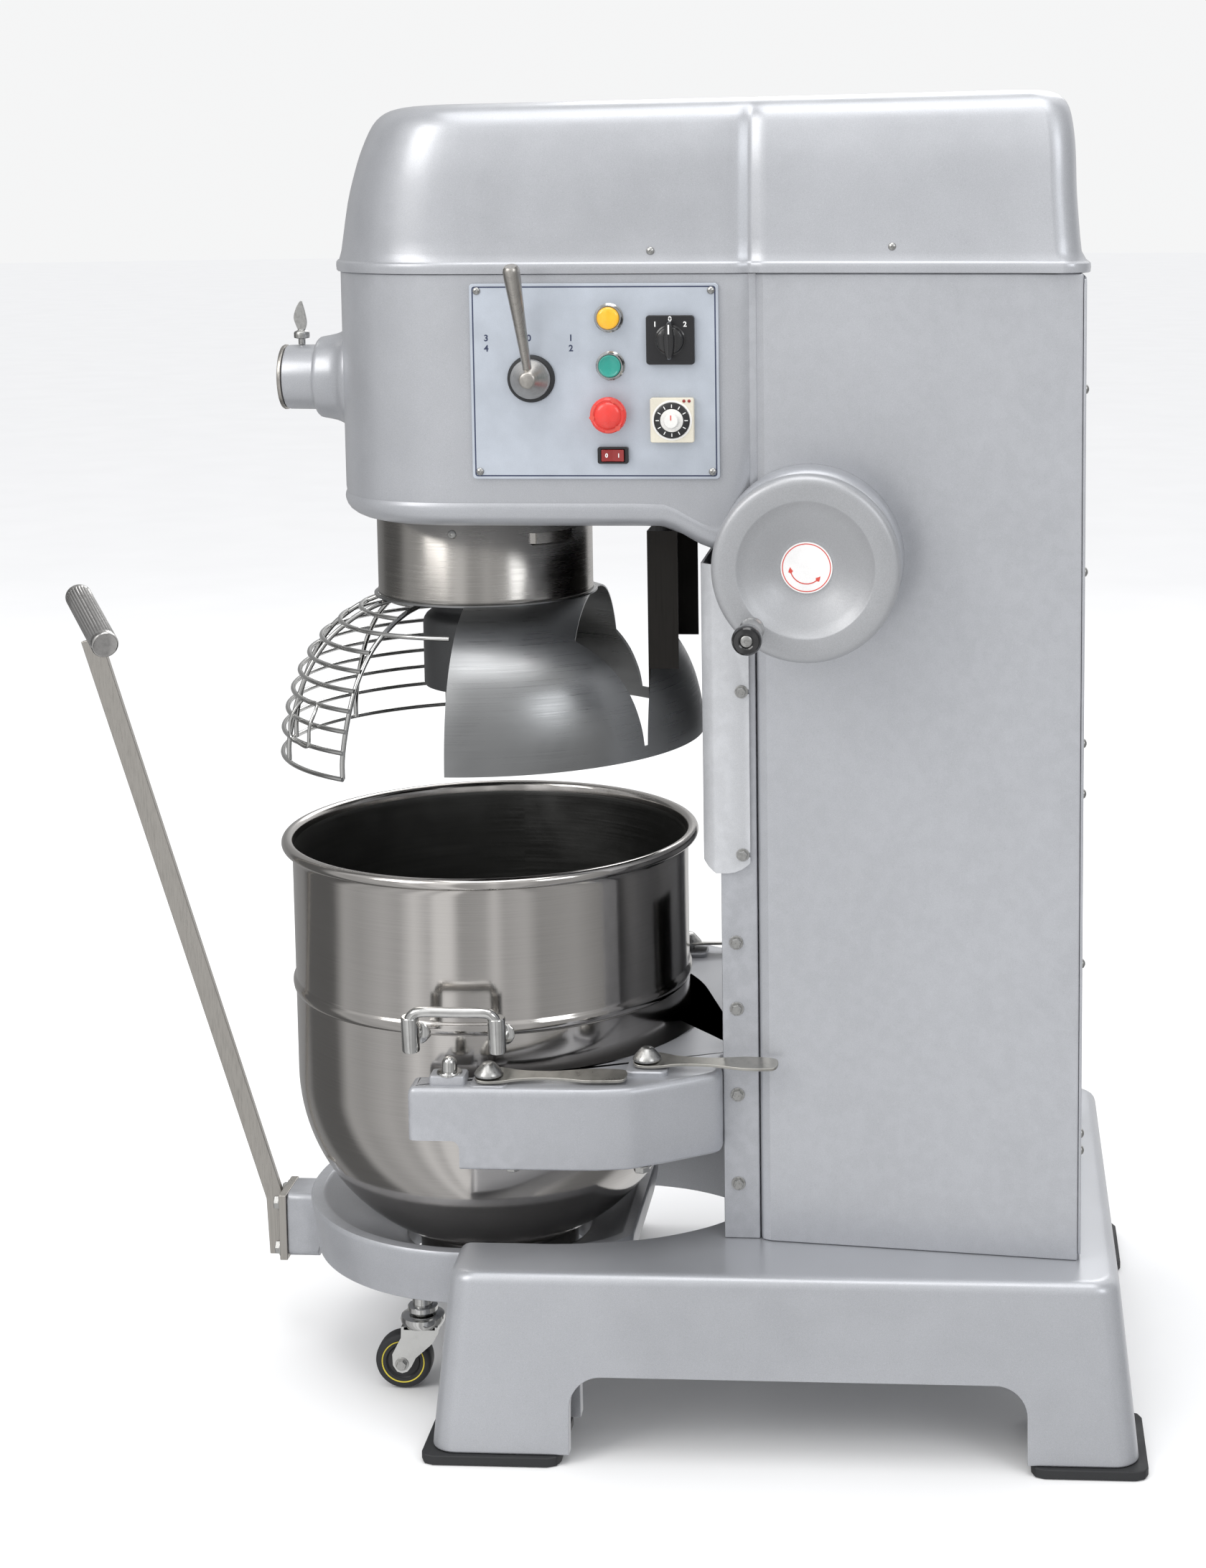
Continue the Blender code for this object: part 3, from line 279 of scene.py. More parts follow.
BELL_M = steel("steel_bell", (0.31, 0.315, 0.32), 0.30, None, 0.02, 0.004, 0.5, rings=AXIS)
COLLAR_M = steel("steel_collar", (0.42, 0.405, 0.385), 0.22, None, 0.07, 0.012, 0.4, rings=AXIS)
CHROME = steel("steel_bright", (0.62, 0.62, 0.61), 0.13, (60.0, 60.0, 60.0), 0.10, 0.02, 0.3)
BRUSHED_Z = steel("steel_brushed_upright", (0.47, 0.45, 0.42), 0.30, (700.0, 700.0, 9.0), 0.22, 0.06)
BRUSHED_X = steel("steel_brushed_turned", (0.50, 0.48, 0.45), 0.30, (1500.0, 90.0, 90.0), 0.20, 0.06)
LATCH_M = steel("steel_latch", (0.47, 0.46, 0.43), 0.33, (60.0, 60.0, 60.0), 0.2, 0.05)
SCREW_M = steel("steel_fastener", (0.48, 0.48, 0.47), 0.30, (300.0, 300.0, 300.0), 0.22, 0.05)
GRIP_M = steel("steel_grip", (0.58, 0.57, 0.56), 0.20, (200.0, 200.0, 200.0), 0.14, 0.03)
MACHINED = steel("steel_machined", (0.42, 0.42, 0.42), 0.28, (900.0, 900.0, 60.0), 0.2, 0.05)
CAST_DARK = enamel("cast_dark", (0.085, 0.087, 0.09), metallic=0.55, rough=(0.38, 0.52), coat=0.0, peel=0.2, edge=0.4)
SHEET_DARK = steel("sheet_dark", (0.13, 0.13, 0.13), 0.34, (500.0, 500.0, 14.0), 0.2, 0.05)
MOTOR_M = enamel("motor_enamel", (0.20, 0.25, 0.29), metallic=0.1, rough=(0.4, 0.5), coat=0.1)
RUBBER = moulded("rubber_black", (0.022, 0.023, 0.025), 0.62, 260.0, 0.25)
BELT_M = moulded("rubber_belt", (0.03, 0.03, 0.032), 0.75, 500.0, 0.3)
BLACK = moulded("plastic_black", (0.014, 0.014, 0.016), 0.34, 500.0, 0.10, coat=0.15)
KNOB_BLACK = moulded("plastic_knob", (0.010, 0.010, 0.011), 0.18, 300.0, 0.04, coat=0.6)
CREAM = moulded("plastic_cream", (0.70, 0.66, 0.55), 0.45, 600.0, 0.08)
WHITE = moulded("plastic_white", (0.78, 0.77, 0.74), 0.38, 500.0, 0.06)
PRINT = moulded("print_navy", (0.035, 0.045, 0.09), 0.45, 900.0, 0.04)
PRINT_W = moulded("print_white", (0.82, 0.82, 0.80), 0.45, 900.0, 0.04)
PRINT_R = moulded("print_red", (0.62, 0.07, 0.05), 0.42, 900.0, 0.04)
LABEL = moulded("label_white", (0.83, 0.82, 0.81), 0.36, 700.0, 0.03, coat=0.3)
AMBER = moulded("lens_amber", (0.95, 0.50, 0.02), 0.20, 160.0, 0.06, coat=0.8, sub=0.35)
GREEN = moulded("button_green", (0.02, 0.30, 0.24), 0.26, 260.0, 0.05, coat=0.5)
RED = moulded("button_red", (0.72, 0.045, 0.035), 0.28, 260.0, 0.05, coat=0.4, sub=0.1)
RED_DARK = moulded("rocker_red", (0.25, 0.012, 0.012), 0.18, 260.0, 0.05, coat=0.6)
YELLOW = moulded("line_yellow", (0.75, 0.62, 0.05), 0.5, 400.0, 0.05)
SHEET = moulded("panel_printed_sheet", (0.50, 0.54, 0.60), 0.40, 900.0, 0.04, coat=0.1)
SHEET.node_tree.nodes["Principled BSDF"].inputs["Metallic"].default_value = 0.35

for m_ in (SHEET, PRINT, LABEL):
    m_.node_tree.nodes["Principled BSDF"].inputs["Specular IOR Level"].default_value = 0.35


# ------------------------------------------------------------------ mesh helpers (millimetres, machine frame)
def emit(bm, name, body, mat, replaces=(), smooth=34.0, bevel=None, segs=2, weighted=False, mats=None):
    bmesh.ops.remove_doubles(bm, verts=bm.verts[:], dist=0.002)
    bmesh.ops.recalc_face_normals(bm, faces=bm.faces[:])
    if bm.calc_volume(signed=True) < 0.0:
        bmesh.ops.reverse_faces(bm, faces=bm.faces[:])
    for v in bm.verts:
        v.co = world(v.co.x, v.co.y, v.co.z)
    me = bpy.data.meshes.new(name)
    bm.to_mesh(me)
    bm.free()
    me.shade_smooth()
    me.set_sharp_from_angle(angle=math.radians(smooth))
    ob = bpy.data.objects.new(name, me)
    SCENE.collection.objects.link(ob)
    for m in (mats or [mat]):
        me.materials.append(m)
    if bevel:
        bv = ob.modifiers.new("edge", "BEVEL")
        bv.width = bevel * 0.001
        bv.segments = segs
        bv.limit_method = "ANGLE"
        bv.angle_limit = math.radians(smooth)
        bv.harden_normals = True
    elif weighted:
        wn = ob.modifiers.new("normals", "WEIGHTED_NORMAL")
        wn.keep_sharp = True
    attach(ob, body)
    if replaces:
        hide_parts(*replaces)
    return ob


def rings(loops, closed=False, bm=None, cap=True):
    bm = bm if bm is not None else bmesh.new()
    vs = [[bm.verts.new(p) for p in lp] for lp in loops]
    n, m = len(vs[0]), len(vs)
    for i in range(m if closed else m - 1):
        a, b = vs[i], vs[(i + 1) % m]
        for j in range(n):
            bm.faces.new((a[j], a[(j + 1) % n], b[(j + 1) % n], b[j]))
    if not closed and cap:
        bm.faces.new(vs[0])
        bm.faces.new(vs[-1])
    return bm


def lathe(profile, segs=96, centre=(0.0, 0.0, 0.0), axis="Z", closed=False, bm=None):
    loops = []
    for r, h in profile:
        lp = []
        for k in range(segs):
            a = 2.0 * math.pi * k / segs
            c, s = r * math.cos(a), r * math.sin(a)
            if axis == "Z":
                lp.append((centre[0] + c, centre[1] + s, centre[2] + h))
            elif axis == "X":
                lp.append((centre[0] + h, centre[1] + c, centre[2] + s))
            else:
                lp.append((centre[0] + s, centre[1] + h, centre[2] + c))
        loops.append(lp)
    return rings(loops, closed=closed, bm=bm)


def spun(profile, segs, origin, direction, closed=False, bm=None):
    """Turn (radius, height) points about any line through `origin`."""
    d = Vector(direction).normalized()
    ref = Vector((0, 0, 1)) if abs(d.z) < 0.9 else Vector((1, 0, 0))
    u = d.cross(ref).normalized()
    w = d.cross(u)
    o = Vector(origin)
    loops = [[tuple(o + d * h + r * (math.cos(2 * math.pi * k / segs) * u + math.sin(2 * math.pi * k / segs) * w))
              for k in range(segs)] for r, h in profile]
    return rings(loops, closed=closed, bm=bm)


def box(x0, x1, y0, y1, z0, z1, bm=None):
    return rings([[(x0, y0, z), (x1, y0, z), (x1, y1, z), (x0, y1, z)] for z in (z0, z1)], bm=bm)


def prism(poly, lo, hi, axis="Z", bm=None):
    def p3(p, h):
        return (p[0], p[1], h) if axis == "Z" else ((h, p[0], p[1]) if axis == "X" else (p[0], h, p[1]))
    return rings([[p3(p, lo) for p in poly], [p3(p, hi) for p in poly]], bm=bm)


def rrect(x0, x1, y0, y1, r, n=6):
    pts = []
    for cx, cy, a0 in ((x1 - r, y0 + r, -90), (x1 - r, y1 - r, 0), (x0 + r, y1 - r, 90), (x0 + r, y0 + r, 180)):
        for k in range(n + 1):
            a = math.radians(a0 + 90.0 * k / n)
            pts.append((cx + r * math.cos(a), cy + r * math.sin(a)))
    return pts


def spline(points, steps=6, closed=False):
    """Smooth curve through points (Catmull-Rom)."""
    P = [Vector(p) for p in points]
    n = len(P)
    out = []
    for i in range(n if closed else n - 1):
        p0 = P[(i - 1) % n] if closed or i > 0 else P[0] * 2 - P[1]
        p1, p2 = P[i], P[(i + 1) % n]
        p3 = P[(i + 2) % n] if closed or i + 2 < n else P[-1] * 2 - P[-2]
        for k in range(steps):
            t = k / steps
            out.append(0.5 * ((2 * p1) + (p2 - p0) * t + (2 * p0 - 5 * p1 + 4 * p2 - p3) * t * t
                              + (3 * p1 - p0 - 3 * p2 + p3) * t ** 3))
    if not closed:
        out.append(P[-1])
    return [tuple(p) for p in out]


def tube(points, radius, sides=12, closed=False, bm=None):
    pts = [Vector(p) for p in points]
    n = len(pts)
    rad = radius if hasattr(radius, "__len__") else [radius] * n
    tang = []
    for i in range(n):
        t = (pts[(i + 1) % n] - pts[(i - 1) % n]) if closed else (pts[min(i + 1, n - 1)] - pts[max(i - 1, 0)])
        tang.append(t.normalized())
    ref = Vector((0, 0, 1)) if abs(tang[0].z) < 0.9 else Vector((1, 0, 0))
    nrm = (ref - tang[0] * ref.dot(tang[0])).normalized()
    loops = []
    for i in range(n):
        nrm = (nrm - tang[i] * nrm.dot(tang[i])).normalized()
        bi = tang[i].cross(nrm)
        loops.append([tuple(pts[i] + rad[i] * (math.cos(2 * math.pi * k / sides) * nrm
                                               + math.sin(2 * math.pi * k / sides) * bi)) for k in range(sides)])
    return rings(loops, closed=closed, bm=bm)


def refine(node, mat, bevel=1.0, segs=2, smooth=32.0, name=None, dissolve=0.6):
    """Stand-in for a CAD node on the same surfaces, with rounded edges and smooth shading."""
    src = NODES[node]
    bm = bmesh.new()
    bm.from_mesh(src.data)
    bmesh.ops.remove_doubles(bm, verts=bm.verts[:], dist=0.00002)
    bmesh.ops.dissolve_limit(bm, angle_limit=math.radians(dissolve), verts=bm.verts[:], edges=bm.edges[:])
    me = bpy.data.meshes.new((name or node) + "_fine")
    bm.to_mesh(me)
    bm.free()
    me.shade_smooth()
    me.set_sharp_from_angle(angle=math.radians(smooth))
    ob = bpy.data.objects.new((name or node) + "_fine", me)
    SCENE.collection.objects.link(ob)
    me.materials.append(mat)
    if bevel:
        bv = ob.modifiers.new("edge", "BEVEL")
        bv.width = bevel * 0.001
        bv.segments = segs
        bv.limit_method = "ANGLE"
        bv.angle_limit = math.radians(smooth)
        bv.harden_normals = True
    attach(ob, src["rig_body"])
    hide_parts(node)
    return ob


def applied(ob, cutter_bm=None, op="DIFFERENCE"):
    """Cut a piece with another mesh and keep the result as plain geometry."""
    me = bpy.data.meshes.new("cutter")
    bmesh.ops.recalc_face_normals(cutter_bm, faces=cutter_bm.faces[:])
    if cutter_bm.calc_volume(signed=True) < 0:
        bmesh.ops.reverse_faces(cutter_bm, faces=cutter_bm.faces[:])
    for v in cutter_bm.verts:
        v.co = world(v.co.x, v.co.y, v.co.z)
    cutter_bm.to_mesh(me)
    cutter_bm.free()
    co = bpy.data.objects.new("cutter", me)
    SCENE.collection.objects.link(co)
    md = ob.modifiers.new("cut", "BOOLEAN")
    md.operation = op
    md.object = co
    md.solver = "EXACT"
    bpy.context.view_layer.update()
    dg = bpy.context.evaluated_depsgraph_get()
    new = bpy.data.meshes.new_from_object(ob.evaluated_get(dg))
    ob.modifiers.remove(md)
    bpy.data.objects.remove(co)
    bpy.data.meshes.remove(me)
    old = ob.data
    ob.data = new
    bpy.data.meshes.remove(old)
    new.shade_smooth()
    new.set_sharp_from_angle(angle=math.radians(34.0))
    return ob


def dress(node, mat):
    """A CAD node that stays, with a finished material."""
    o = NODES[node]
    if not o.material_slots:
        o.data.materials.append(mat)
    for s in o.material_slots:
        s.material = mat
    return o


def hexbolt(bm, origin, direction, af=10.0, h=5.0, washer=1.3, turn=0.2):
    d = Vector(direction).normalized()
    ref = Vector((0, 0, 1)) if abs(d.z) < 0.9 else Vector((1, 0, 0))
    u = d.cross(ref).normalized()
    w = d.cross(u)
    o = Vector(origin)
    spun([(0.2, -0.6), (af * 0.98, -0.6), (af * 0.98, washer - 0.25), (af * 0.95, washer), (0.2, washer)], 28, o, d, bm=bm)
    R = af / 2.0 / math.cos(math.pi / 6) * 1.05

    def lp(r, hh):
        return [tuple(o + d * hh + r * (math.cos(math.pi * k / 3 + turn) * u + math.sin(math.pi * k / 3 + turn) * w)) for k in range(6)]
    rings([lp(R * 1.25, washer - 0.2), lp(R * 1.25, washer + h - 0.8), lp(R * 1.12, washer + h)], bm=bm)
    return bm


def domescrew(bm, origin, direction, r=5.0, h=2.6, slot=True, turn=0.6):
    prof = [(r, -0.6), (r, 0.3)] + [(r * math.cos(a), 0.3 + h * math.sin(a)) for a in (0.3, 0.6, 0.9, 1.15)]
    prof += [(r * 0.34, 0.3 + h), (r * 0.28, 0.3 + h * 0.45), (0.15, 0.3 + h * 0.40)]
    spun(prof, 26, origin, direction, bm=bm)
    return bm


def glyph(txt, size, y, z, x, name, body, mat, depth=0.12, align="CENTER"):
    """Numbers printed on a face that looks along +X."""
    cu = bpy.data.curves.new(name, "FONT")
    cu.body = txt
    cu.size = size * 0.001
    cu.align_x = align
    cu.align_y = "CENTER"
    cu.extrude = depth * 0.001
    cu.offset = size * 0.000028
    tmp = bpy.data.objects.new(name + "_t", cu)
    SCENE.collection.objects.link(tmp)
    tmp.matrix_world = Matrix.Translation(world(x, y, z)) @ Matrix(((0, 0, 1, 0), (1, 0, 0, 0), (0, 1, 0, 0), (0, 0, 0, 1)))
    bpy.context.view_layer.update()
    dg = bpy.context.evaluated_depsgraph_get()
    me = bpy.data.meshes.new_from_object(tmp.evaluated_get(dg))
    me.transform(tmp.matrix_world)
    bpy.data.objects.remove(tmp)
    me.name = name
    me.materials.clear()
    me.materials.append(mat)
    ob = bpy.data.objects.new(name, me)
    SCENE.collection.objects.link(ob)
    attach(ob, body)
    return ob


# ------------------------------------------------------------------ base, column, head, hood
HEAD_HALF, HEAD_NOSE, LIP_Z, HOOD_TOP, HEAD_BOTTOM = 218.0, 168.0, 1278.0, 1461.0, 1003.0
COL_Y, COL_HALF = (330.0, 679.0), (212.0, 252.0)


def col_half(y):
    return COL_HALF[0] + (COL_HALF[1] - COL_HALF[0]) * (y - COL_Y[0]) / (COL_Y[1] - COL_Y[0])


PAD_T, BASE_TOP = 11.0, 206.0


def base_loops(levels, inset):
    out = []
    for z, extra in levels:
        f = (z - PAD_T) / (BASE_TOP - PAD_T)
        d = inset + extra
        hw = 335.0 + (314.0 - 335.0) * f - d
        y0, y1 = -22.0 + 20.0 * f + d, 744.0 - 22.0 * f - d
        out.append([(x, y, z) for x, y in rrect(-hw, hw, y0, y1, max(28.0 - d * 0.5, 12.0), 8)])
    return out


def arch_poly(a0, a1, top, r):
    pts = [(a0, -40.0), (a1, -40.0)]
    for cx, s0 in ((a1 - r, 0.0), (a0 + r, 90.0)):
        for k in range(11):
            a = math.radians(s0 + 9.0 * k)
            pts.append((cx + r * math.cos(a), top - r + r * math.sin(a)))
    return pts


throat = [(-230.0, -60.0), (230.0, -60.0)] + [(x, y) for x, y, _ in spline(
    [(230.0, 60.0, 0), (229.0, 120.0, 0), (213.0, 200.0, 0), (184.0, 256.0, 0), (150.0, 292.0, 0), (110.0, 314.0, 0), (60.0, 316.0, 0)], 4)]
throat += [(-x, y) for x, y in reversed(throat[2:])]
base = emit(rings(base_loops([(PAD_T, 1.4), (PAD_T + 1.4, 0.0), (120.0, 0.0), (BASE_TOP - 12.0, 0.0), (BASE_TOP - 7.6, 0.8), (BASE_TOP - 4.0, 2.8), (BASE_TOP - 1.4, 6.0),
                              (BASE_TOP - 0.2, 10.0), (BASE_TOP, 14.0)], 0.0)), "base_casting_fine", "machine", PAINT, ["base_casting"], smooth=36.0)
cav = []
for z in (-20.0, BASE_TOP - 16.0):
    f = (z - PAD_T) / (BASE_TOP - PAD_T)
    cav.append((335.0 - 21.0 * f - 15.0, -22.0 + 20.0 * f + 15.0, 744.0 - 22.0 * f - 15.0, z))
(hw0, ya0, yb0, z0_), (hw1, ya1, yb1, z1_) = cav
for x0, x1, x2, x3, ya, yb in ((-hw0, -246.0, -hw1, -246.0, None, None), (246.0, hw0, 246.0, hw1, None, None)):
    applied(base, rings([[(x0, ya0, z0_), (x1, ya0, z0_), (x1, 332.0, z0_), (x0, 332.0, z0_)],
                         [(x2, ya1, z1_), (x3, ya1, z1_), (x3, 332.0, z1_), (x2, 332.0, z1_)]]))
applied(base, rings([[(-hw0, 333.0, z0_), (hw0, 333.0, z0_), (hw0, yb0, z0_), (-hw0, yb0, z0_)],
                     [(-hw1, 333.0, z1_), (hw1, 333.0, z1_), (hw1, yb1, z1_), (-hw1, yb1, z1_)]]))
applied(base, prism(throat, -80.0, 400.0))
applied(base, prism(arch_poly(131.0, 624.0, 96.0, 34.0), -400.0, 400.0, "X"))
applied(base, prism(arch_poly(-205.0, 205.0, 96.0, 34.0), 500.0, 800.0, "Y"))
bv = base.modifiers.new("edge", "BEVEL")
bv.width, bv.segments, bv.limit_method, bv.angle_limit, bv.harden_normals = 0.003, 3, "ANGLE", math.radians(42.0), True
for n in ("foot_pad_front_near", "foot_pad_front_far", "foot_pad_rear_near", "foot_pad_rear_far"):
    refine(n, RUBBER, bevel=1.6, segs=2)
refine("column_shell", PAINT, bevel=2.0, segs=2)
refine("rear_cover", PAINT, bevel=1.0, segs=2)
for n in ("slide_way_near", "slide_way_far"):
    refine(n, PAINT_CAST, bevel=1.6, segs=2)
cov_o = [(211.0, 322.8), (211.0, 285.0), (209.6, 282.0), (199.0, 271.6), (196.0, 270.5)]
cov_i = [(193.5, 273.0), (197.8, 273.9), (207.2, 283.2), (208.5, 286.2), (208.5, 322.8)]
cover_poly = cov_o + [(-x, y) for x, y in reversed(cov_o)] + [(-x, y) for x, y in reversed(cov_i)] + cov_i
cover = emit(prism(cover_poly, 624.0, 965.0), "way_cover_fine", "machine", PAINT_LIGHT, ["way_cover"], smooth=30.0)
applied(cover, prism([(326.0, 620.0), (326.0, 640.0), (321.0, 634.0), (314.0, 628.6), (306.0, 625.4), (298.0, 624.0), (298.0, 620.0)], -400.0, 400.0, "X"))
applied(cover, prism([(268.0, 620.0), (286.0, 620.0), (285.0, 624.0), (276.0, 630.0), (268.0, 640.0)], -400.0, 400.0, "X"))
for z in (826.0, 645.0):
    applied(cover, box(-300.0, 300.0, 316.0, 330.0, z - 2.6, z + 2.6))
# painted shadow: the rear splash plate sits in shadow behind the guard, so its sheet is given a near-black colour
SPLASH_SHADE_M = steel("sheet_shadow", (0.035, 0.033, 0.031), 0.42, (500.0, 500.0, 14.0), 0.2, 0.05)
refine("rear_splash_plate", SPLASH_SHADE_M, bevel=0.4, segs=1)

NS = 44


def nose(hw, ln, n=NS):
    pts = []
    for k in range(1, n):
        t = math.pi * k / n
        c, s = math.cos(t), math.sin(t)
        pts.append((math.copysign(abs(c) ** 0.80, c) * hw, 20.0 - ln * s ** 0.80))
    return pts


def head_plan(inset):
    hw = HEAD_HALF - inset
    side = [(y - max(inset, 0.0) * max(y - 200.0, 0.0) / 126.0, d) for y, d in
            ((326.0, 6.0), (324.0, 4.6), (321.0, 3.0), (317.0, 1.5), (311.0, 0.4), (304.0, 0.0), (286.0, 0.0), (274.0, 0.0), (262.0, 0.0), (248.0, 0.0),
             (234.0, 0.0), (200.0, 0.0), (160.0, 0.0), (120.0, 0.0), (70.0, 0.0), (20.0, 0.0))]
    return [(hw - d, y) for y, d in side] + nose(hw, HEAD_NOSE - inset) + [(d - hw, y) for y, d in reversed(side)]


def arch_drop(y):
    t = min(max((y - 226.0) / 66.0, 0.0), 1.0)
    return -26.0 * t * t * (3.0 - 2.0 * t)


def head_loop(inset, z, droop):
    return [(x, y, z + arch_drop(y) * droop) for x, y in head_plan(inset)]


def head_centre(z, f):
    return [(x * f, 90.0 + (y - 90.0) * f, z) for x, y in head_plan(48.0)]


bm = rings([head_centre(HEAD_BOTTOM + 13.0, 0.62), head_loop(9.0, HEAD_BOTTOM + 13.0, 1.0), head_loop(9.0, 1060.0, 0.4),
            head_loop(9.0, LIP_Z - 0.3, 0.0), head_loop(0.6, LIP_Z - 0.3, 0.0), head_loop(0.0, LIP_Z - 1.0, 0.0),
            head_loop(0.0, 1200.0, 0.0), head_loop(0.0, 1120.0, 0.15), head_loop(0.0, 1062.0, 0.4),
            head_loop(0.1, 1037.0, 0.9), head_loop(0.9, 1032.0, 1.0), head_loop(-0.6, 1029.0, 1.0), head_loop(-1.0, 1026.0, 1.0),
            head_loop(-0.6, 1023.0, 1.0), head_loop(1.2, 1018.0, 1.0), head_loop(4.0, 1014.0, 1.0),
            head_loop(9.0, 1010.0, 1.0), head_loop(15.0, 1007.0, 1.0), head_loop(22.0, 1005.0, 1.0),
            head_loop(34.0, 1003.6, 1.0), head_loop(48.0, HEAD_BOTTOM, 1.0), head_centre(HEAD_BOTTOM, 0.62)])
bmesh.ops.triangulate(bm, faces=[f for f in bm.faces if len(f.verts) > 4])
head = emit(bm, "head_casting_fine", "machine", PAINT, ["head_casting"], smooth=40.0)
applied(head, lathe([(40.0, 900.0), (40.0, 1060.0)], 48))
applied(head, lathe([(10.5, 150.0), (10.5, 260.0)], 24, (0.0, 94.0, 1167.0), "X"))


def hood_plan():
    pts = []
    for y, d in ((328.0, 6.6), (325.0, 5.8), (321.0, 3.8), (317.0, 1.9), (312.0, 0.5), (304.0, 0.0), (280.0, 0.0), (230.0, 0.0), (175.0, 0.0), (120.0, 0.0),
                 (70.0, 0.0), (20.0, 0.0)):
        pts.append((HEAD_HALF - d, y))
    left = [(-x, y) for x, y in pts][::-1]
    pts += nose(HEAD_HALF, HEAD_NOSE)
    pts += left
    rear = [(-(HEAD_HALF - 5.8), 331.0), (-(HEAD_HALF - 4.0), 335.0), (-(HEAD_HALF - 2.2), 340.0), (-(HEAD_HALF - 0.9), 347.0), (-col_half(380.0) - 1.4, 380.0),
            (-col_half(430.0) - 1.0, 430.0), (-col_half(495.0) - 1.0, 495.0), (-col_half(560.0) - 1.0, 560.0), (-col_half(610.0) - 1.0, 610.0)]
    for k in range(11):
        a = math.radians(180.0 - 90.0 * k / 10.0)
        rear.append((-225.0 + 30.0 * math.cos(a), 652.0 + 30.0 * math.sin(a)))
    rear += [(-150.0, 682.0), (-75.0, 682.0)]
    pts += rear + [(0.0, 682.0)] + [(-x, y) for x, y in reversed(rear)]
    return pts


HP = hood_plan()


def hood_loop(z, front, side, rear, rise=0.0):
    lp = []
    for x, y in HP:
        x2 = x * (1.0 - side / 235.0)
        if y < 20.0:
            y2 = 20.0 - (20.0 - y) * (1.0 - front / HEAD_NOSE)
        elif y > 400.0:
            y2 = 400.0 + (y - 400.0) * (1.0 - rear / 282.0)
        else:
            y2 = y
        lp.append((x2, y2, z + rise * 0.016 * (y2 - 100.0)))
    return lp


outer_rows = [(1291.0, -1.0, -1.0, -1.0, 0.0), (1300.0, 1.5, 2.0, 4.0, 0.0), (1354.0, 10.0, 8.0, 9.0, 0.4), (1390.0, 19.2, 12.4, 10.2, 0.65),
              (1416.0, 28.0, 18.0, 12.0, 0.8), (1441.0, 40.0, 27.0, 17.0, 1.0), (1454.0, 54.0, 41.0, 27.0, 1.0), (1459.4, 72.0, 60.0, 42.0, 1.0),
              (1461.0, 92.0, 82.0, 60.0, 1.0)]
rows = []
for i in range(len(outer_rows) - 1):
    a, b_ = Vector(outer_rows[i]), Vector(outer_rows[i + 1])
    rows.append(tuple(a))
    p0 = Vector(outer_rows[max(i - 1, 0)])
    p3 = Vector(outer_rows[min(i + 2, len(outer_rows) - 1)])
    if i >= 1:
        for t in (0.33, 0.67):
            c = 0.5 * ((2 * a) + (b_ - p0) * t + (2 * p0 - 5 * a + 4 * b_ - p3) * t * t + (3 * a - p0 - 3 * b_ + p3) * t ** 3)
            rows.append(tuple(c))
rows.append(outer_rows[-1])
T = 4.0
loops = [hood_loop(HOOD_TOP - 5.0, 84.0, 66.0, 50.0, 1.0), hood_loop(HOOD_TOP - 18.0, 54.0, 44.0, 30.0, 1.0),
         hood_loop(1354.0, 10.0 + T, 8.0 + T, 9.0 + T, 0.4), hood_loop(LIP_Z + 0.3, 1.0 + T, 1.0 + T, 1.0 + T),
         hood_loop(LIP_Z + 0.3, -3.2, -3.2, -4.2), hood_loop(LIP_Z + 1.2, -4.0, -4.0, -5.0), hood_loop(1284.0, -4.5, -4.5, -5.5),
         hood_loop(1288.0, -4.2, -4.2, -5.2), hood_loop(1289.6, -3.0, -3.0, -3.6)]
loops += [hood_loop(*r) for r in rows]
hood = emit(rings(loops), "hood_cover_fine", "machine", PAINT, ["hood_cover"], smooth=42.0, weighted=True)

# ------------------------------------------------------------------ attachment hub
for s, nm in ((1.0, "near"), (-1.0, "far")):
    bm = prism([(201.0 * s, 322.0), (211.6 * s, 322.0), (211.2 * s, 328.0), (209.4 * s, 334.0), (201.0 * s, 334.0)], 985.0, LIP_Z - 0.5)
    emit(bm, "head_joint_%s" % nm, "machine", PAINT, smooth=60.0)

HUB_Z = 1152.0
hub_prof = [(24.0, -120.0), (62.0, -120.0), (62.0, -146.0), (61.4, -149.0), (59.6, -152.6), (56.6, -156.0), (54.0, -159.0), (51.6, -163.5),
            (50.0, -168.0), (48.2, -176.0), (47.0, -183.0), (46.2, -186.0), (44.0, -188.4), (40.0, -189.6), (37.8, -190.6), (37.4, -193.0),
            (37.0, -222.5), (36.2, -225.2), (34.5, -226.0), (24.0, -226.0)]
hubp = emit(lathe(hub_prof, 96, (0.0, 0.0, HUB_Z), "Y", closed=True), "attachment_hub_fine", "machine", PAINT, ["attachment_hub"], smooth=50.0)
applied(hubp, rings([[(x, y, z) for x, y in head_plan(0.3)] for z in (1050.0, 1260.0)]))
emit(lathe([(36.0, -226.2), (37.4, -226.8), (37.5, -229.0), (36.4, -230.8), (34.0, -231.5), (12.0, -231.5), (10.0, -230.9), (9.0, -231.5), (0.3, -231.5)],
           96, (0.0, 0.0, HUB_Z), "Y"), "hub_end_cap_fine", "machine", BRUSHED_X, ["hub_end_cap"], smooth=40.0)
HS = [(4.0, HUB_Z + 37.5), (4.0, HUB_Z + 44.0), (8.6, HUB_Z + 45.0), (9.0, HUB_Z + 46.5), (9.0, HUB_Z + 51.0), (8.2, HUB_Z + 52.4), (4.6, HUB_Z + 54.0)]
bm = lathe(HS + [(4.4, HUB_Z + 55.0)], 32, (0.0, -209.0, 0.0))
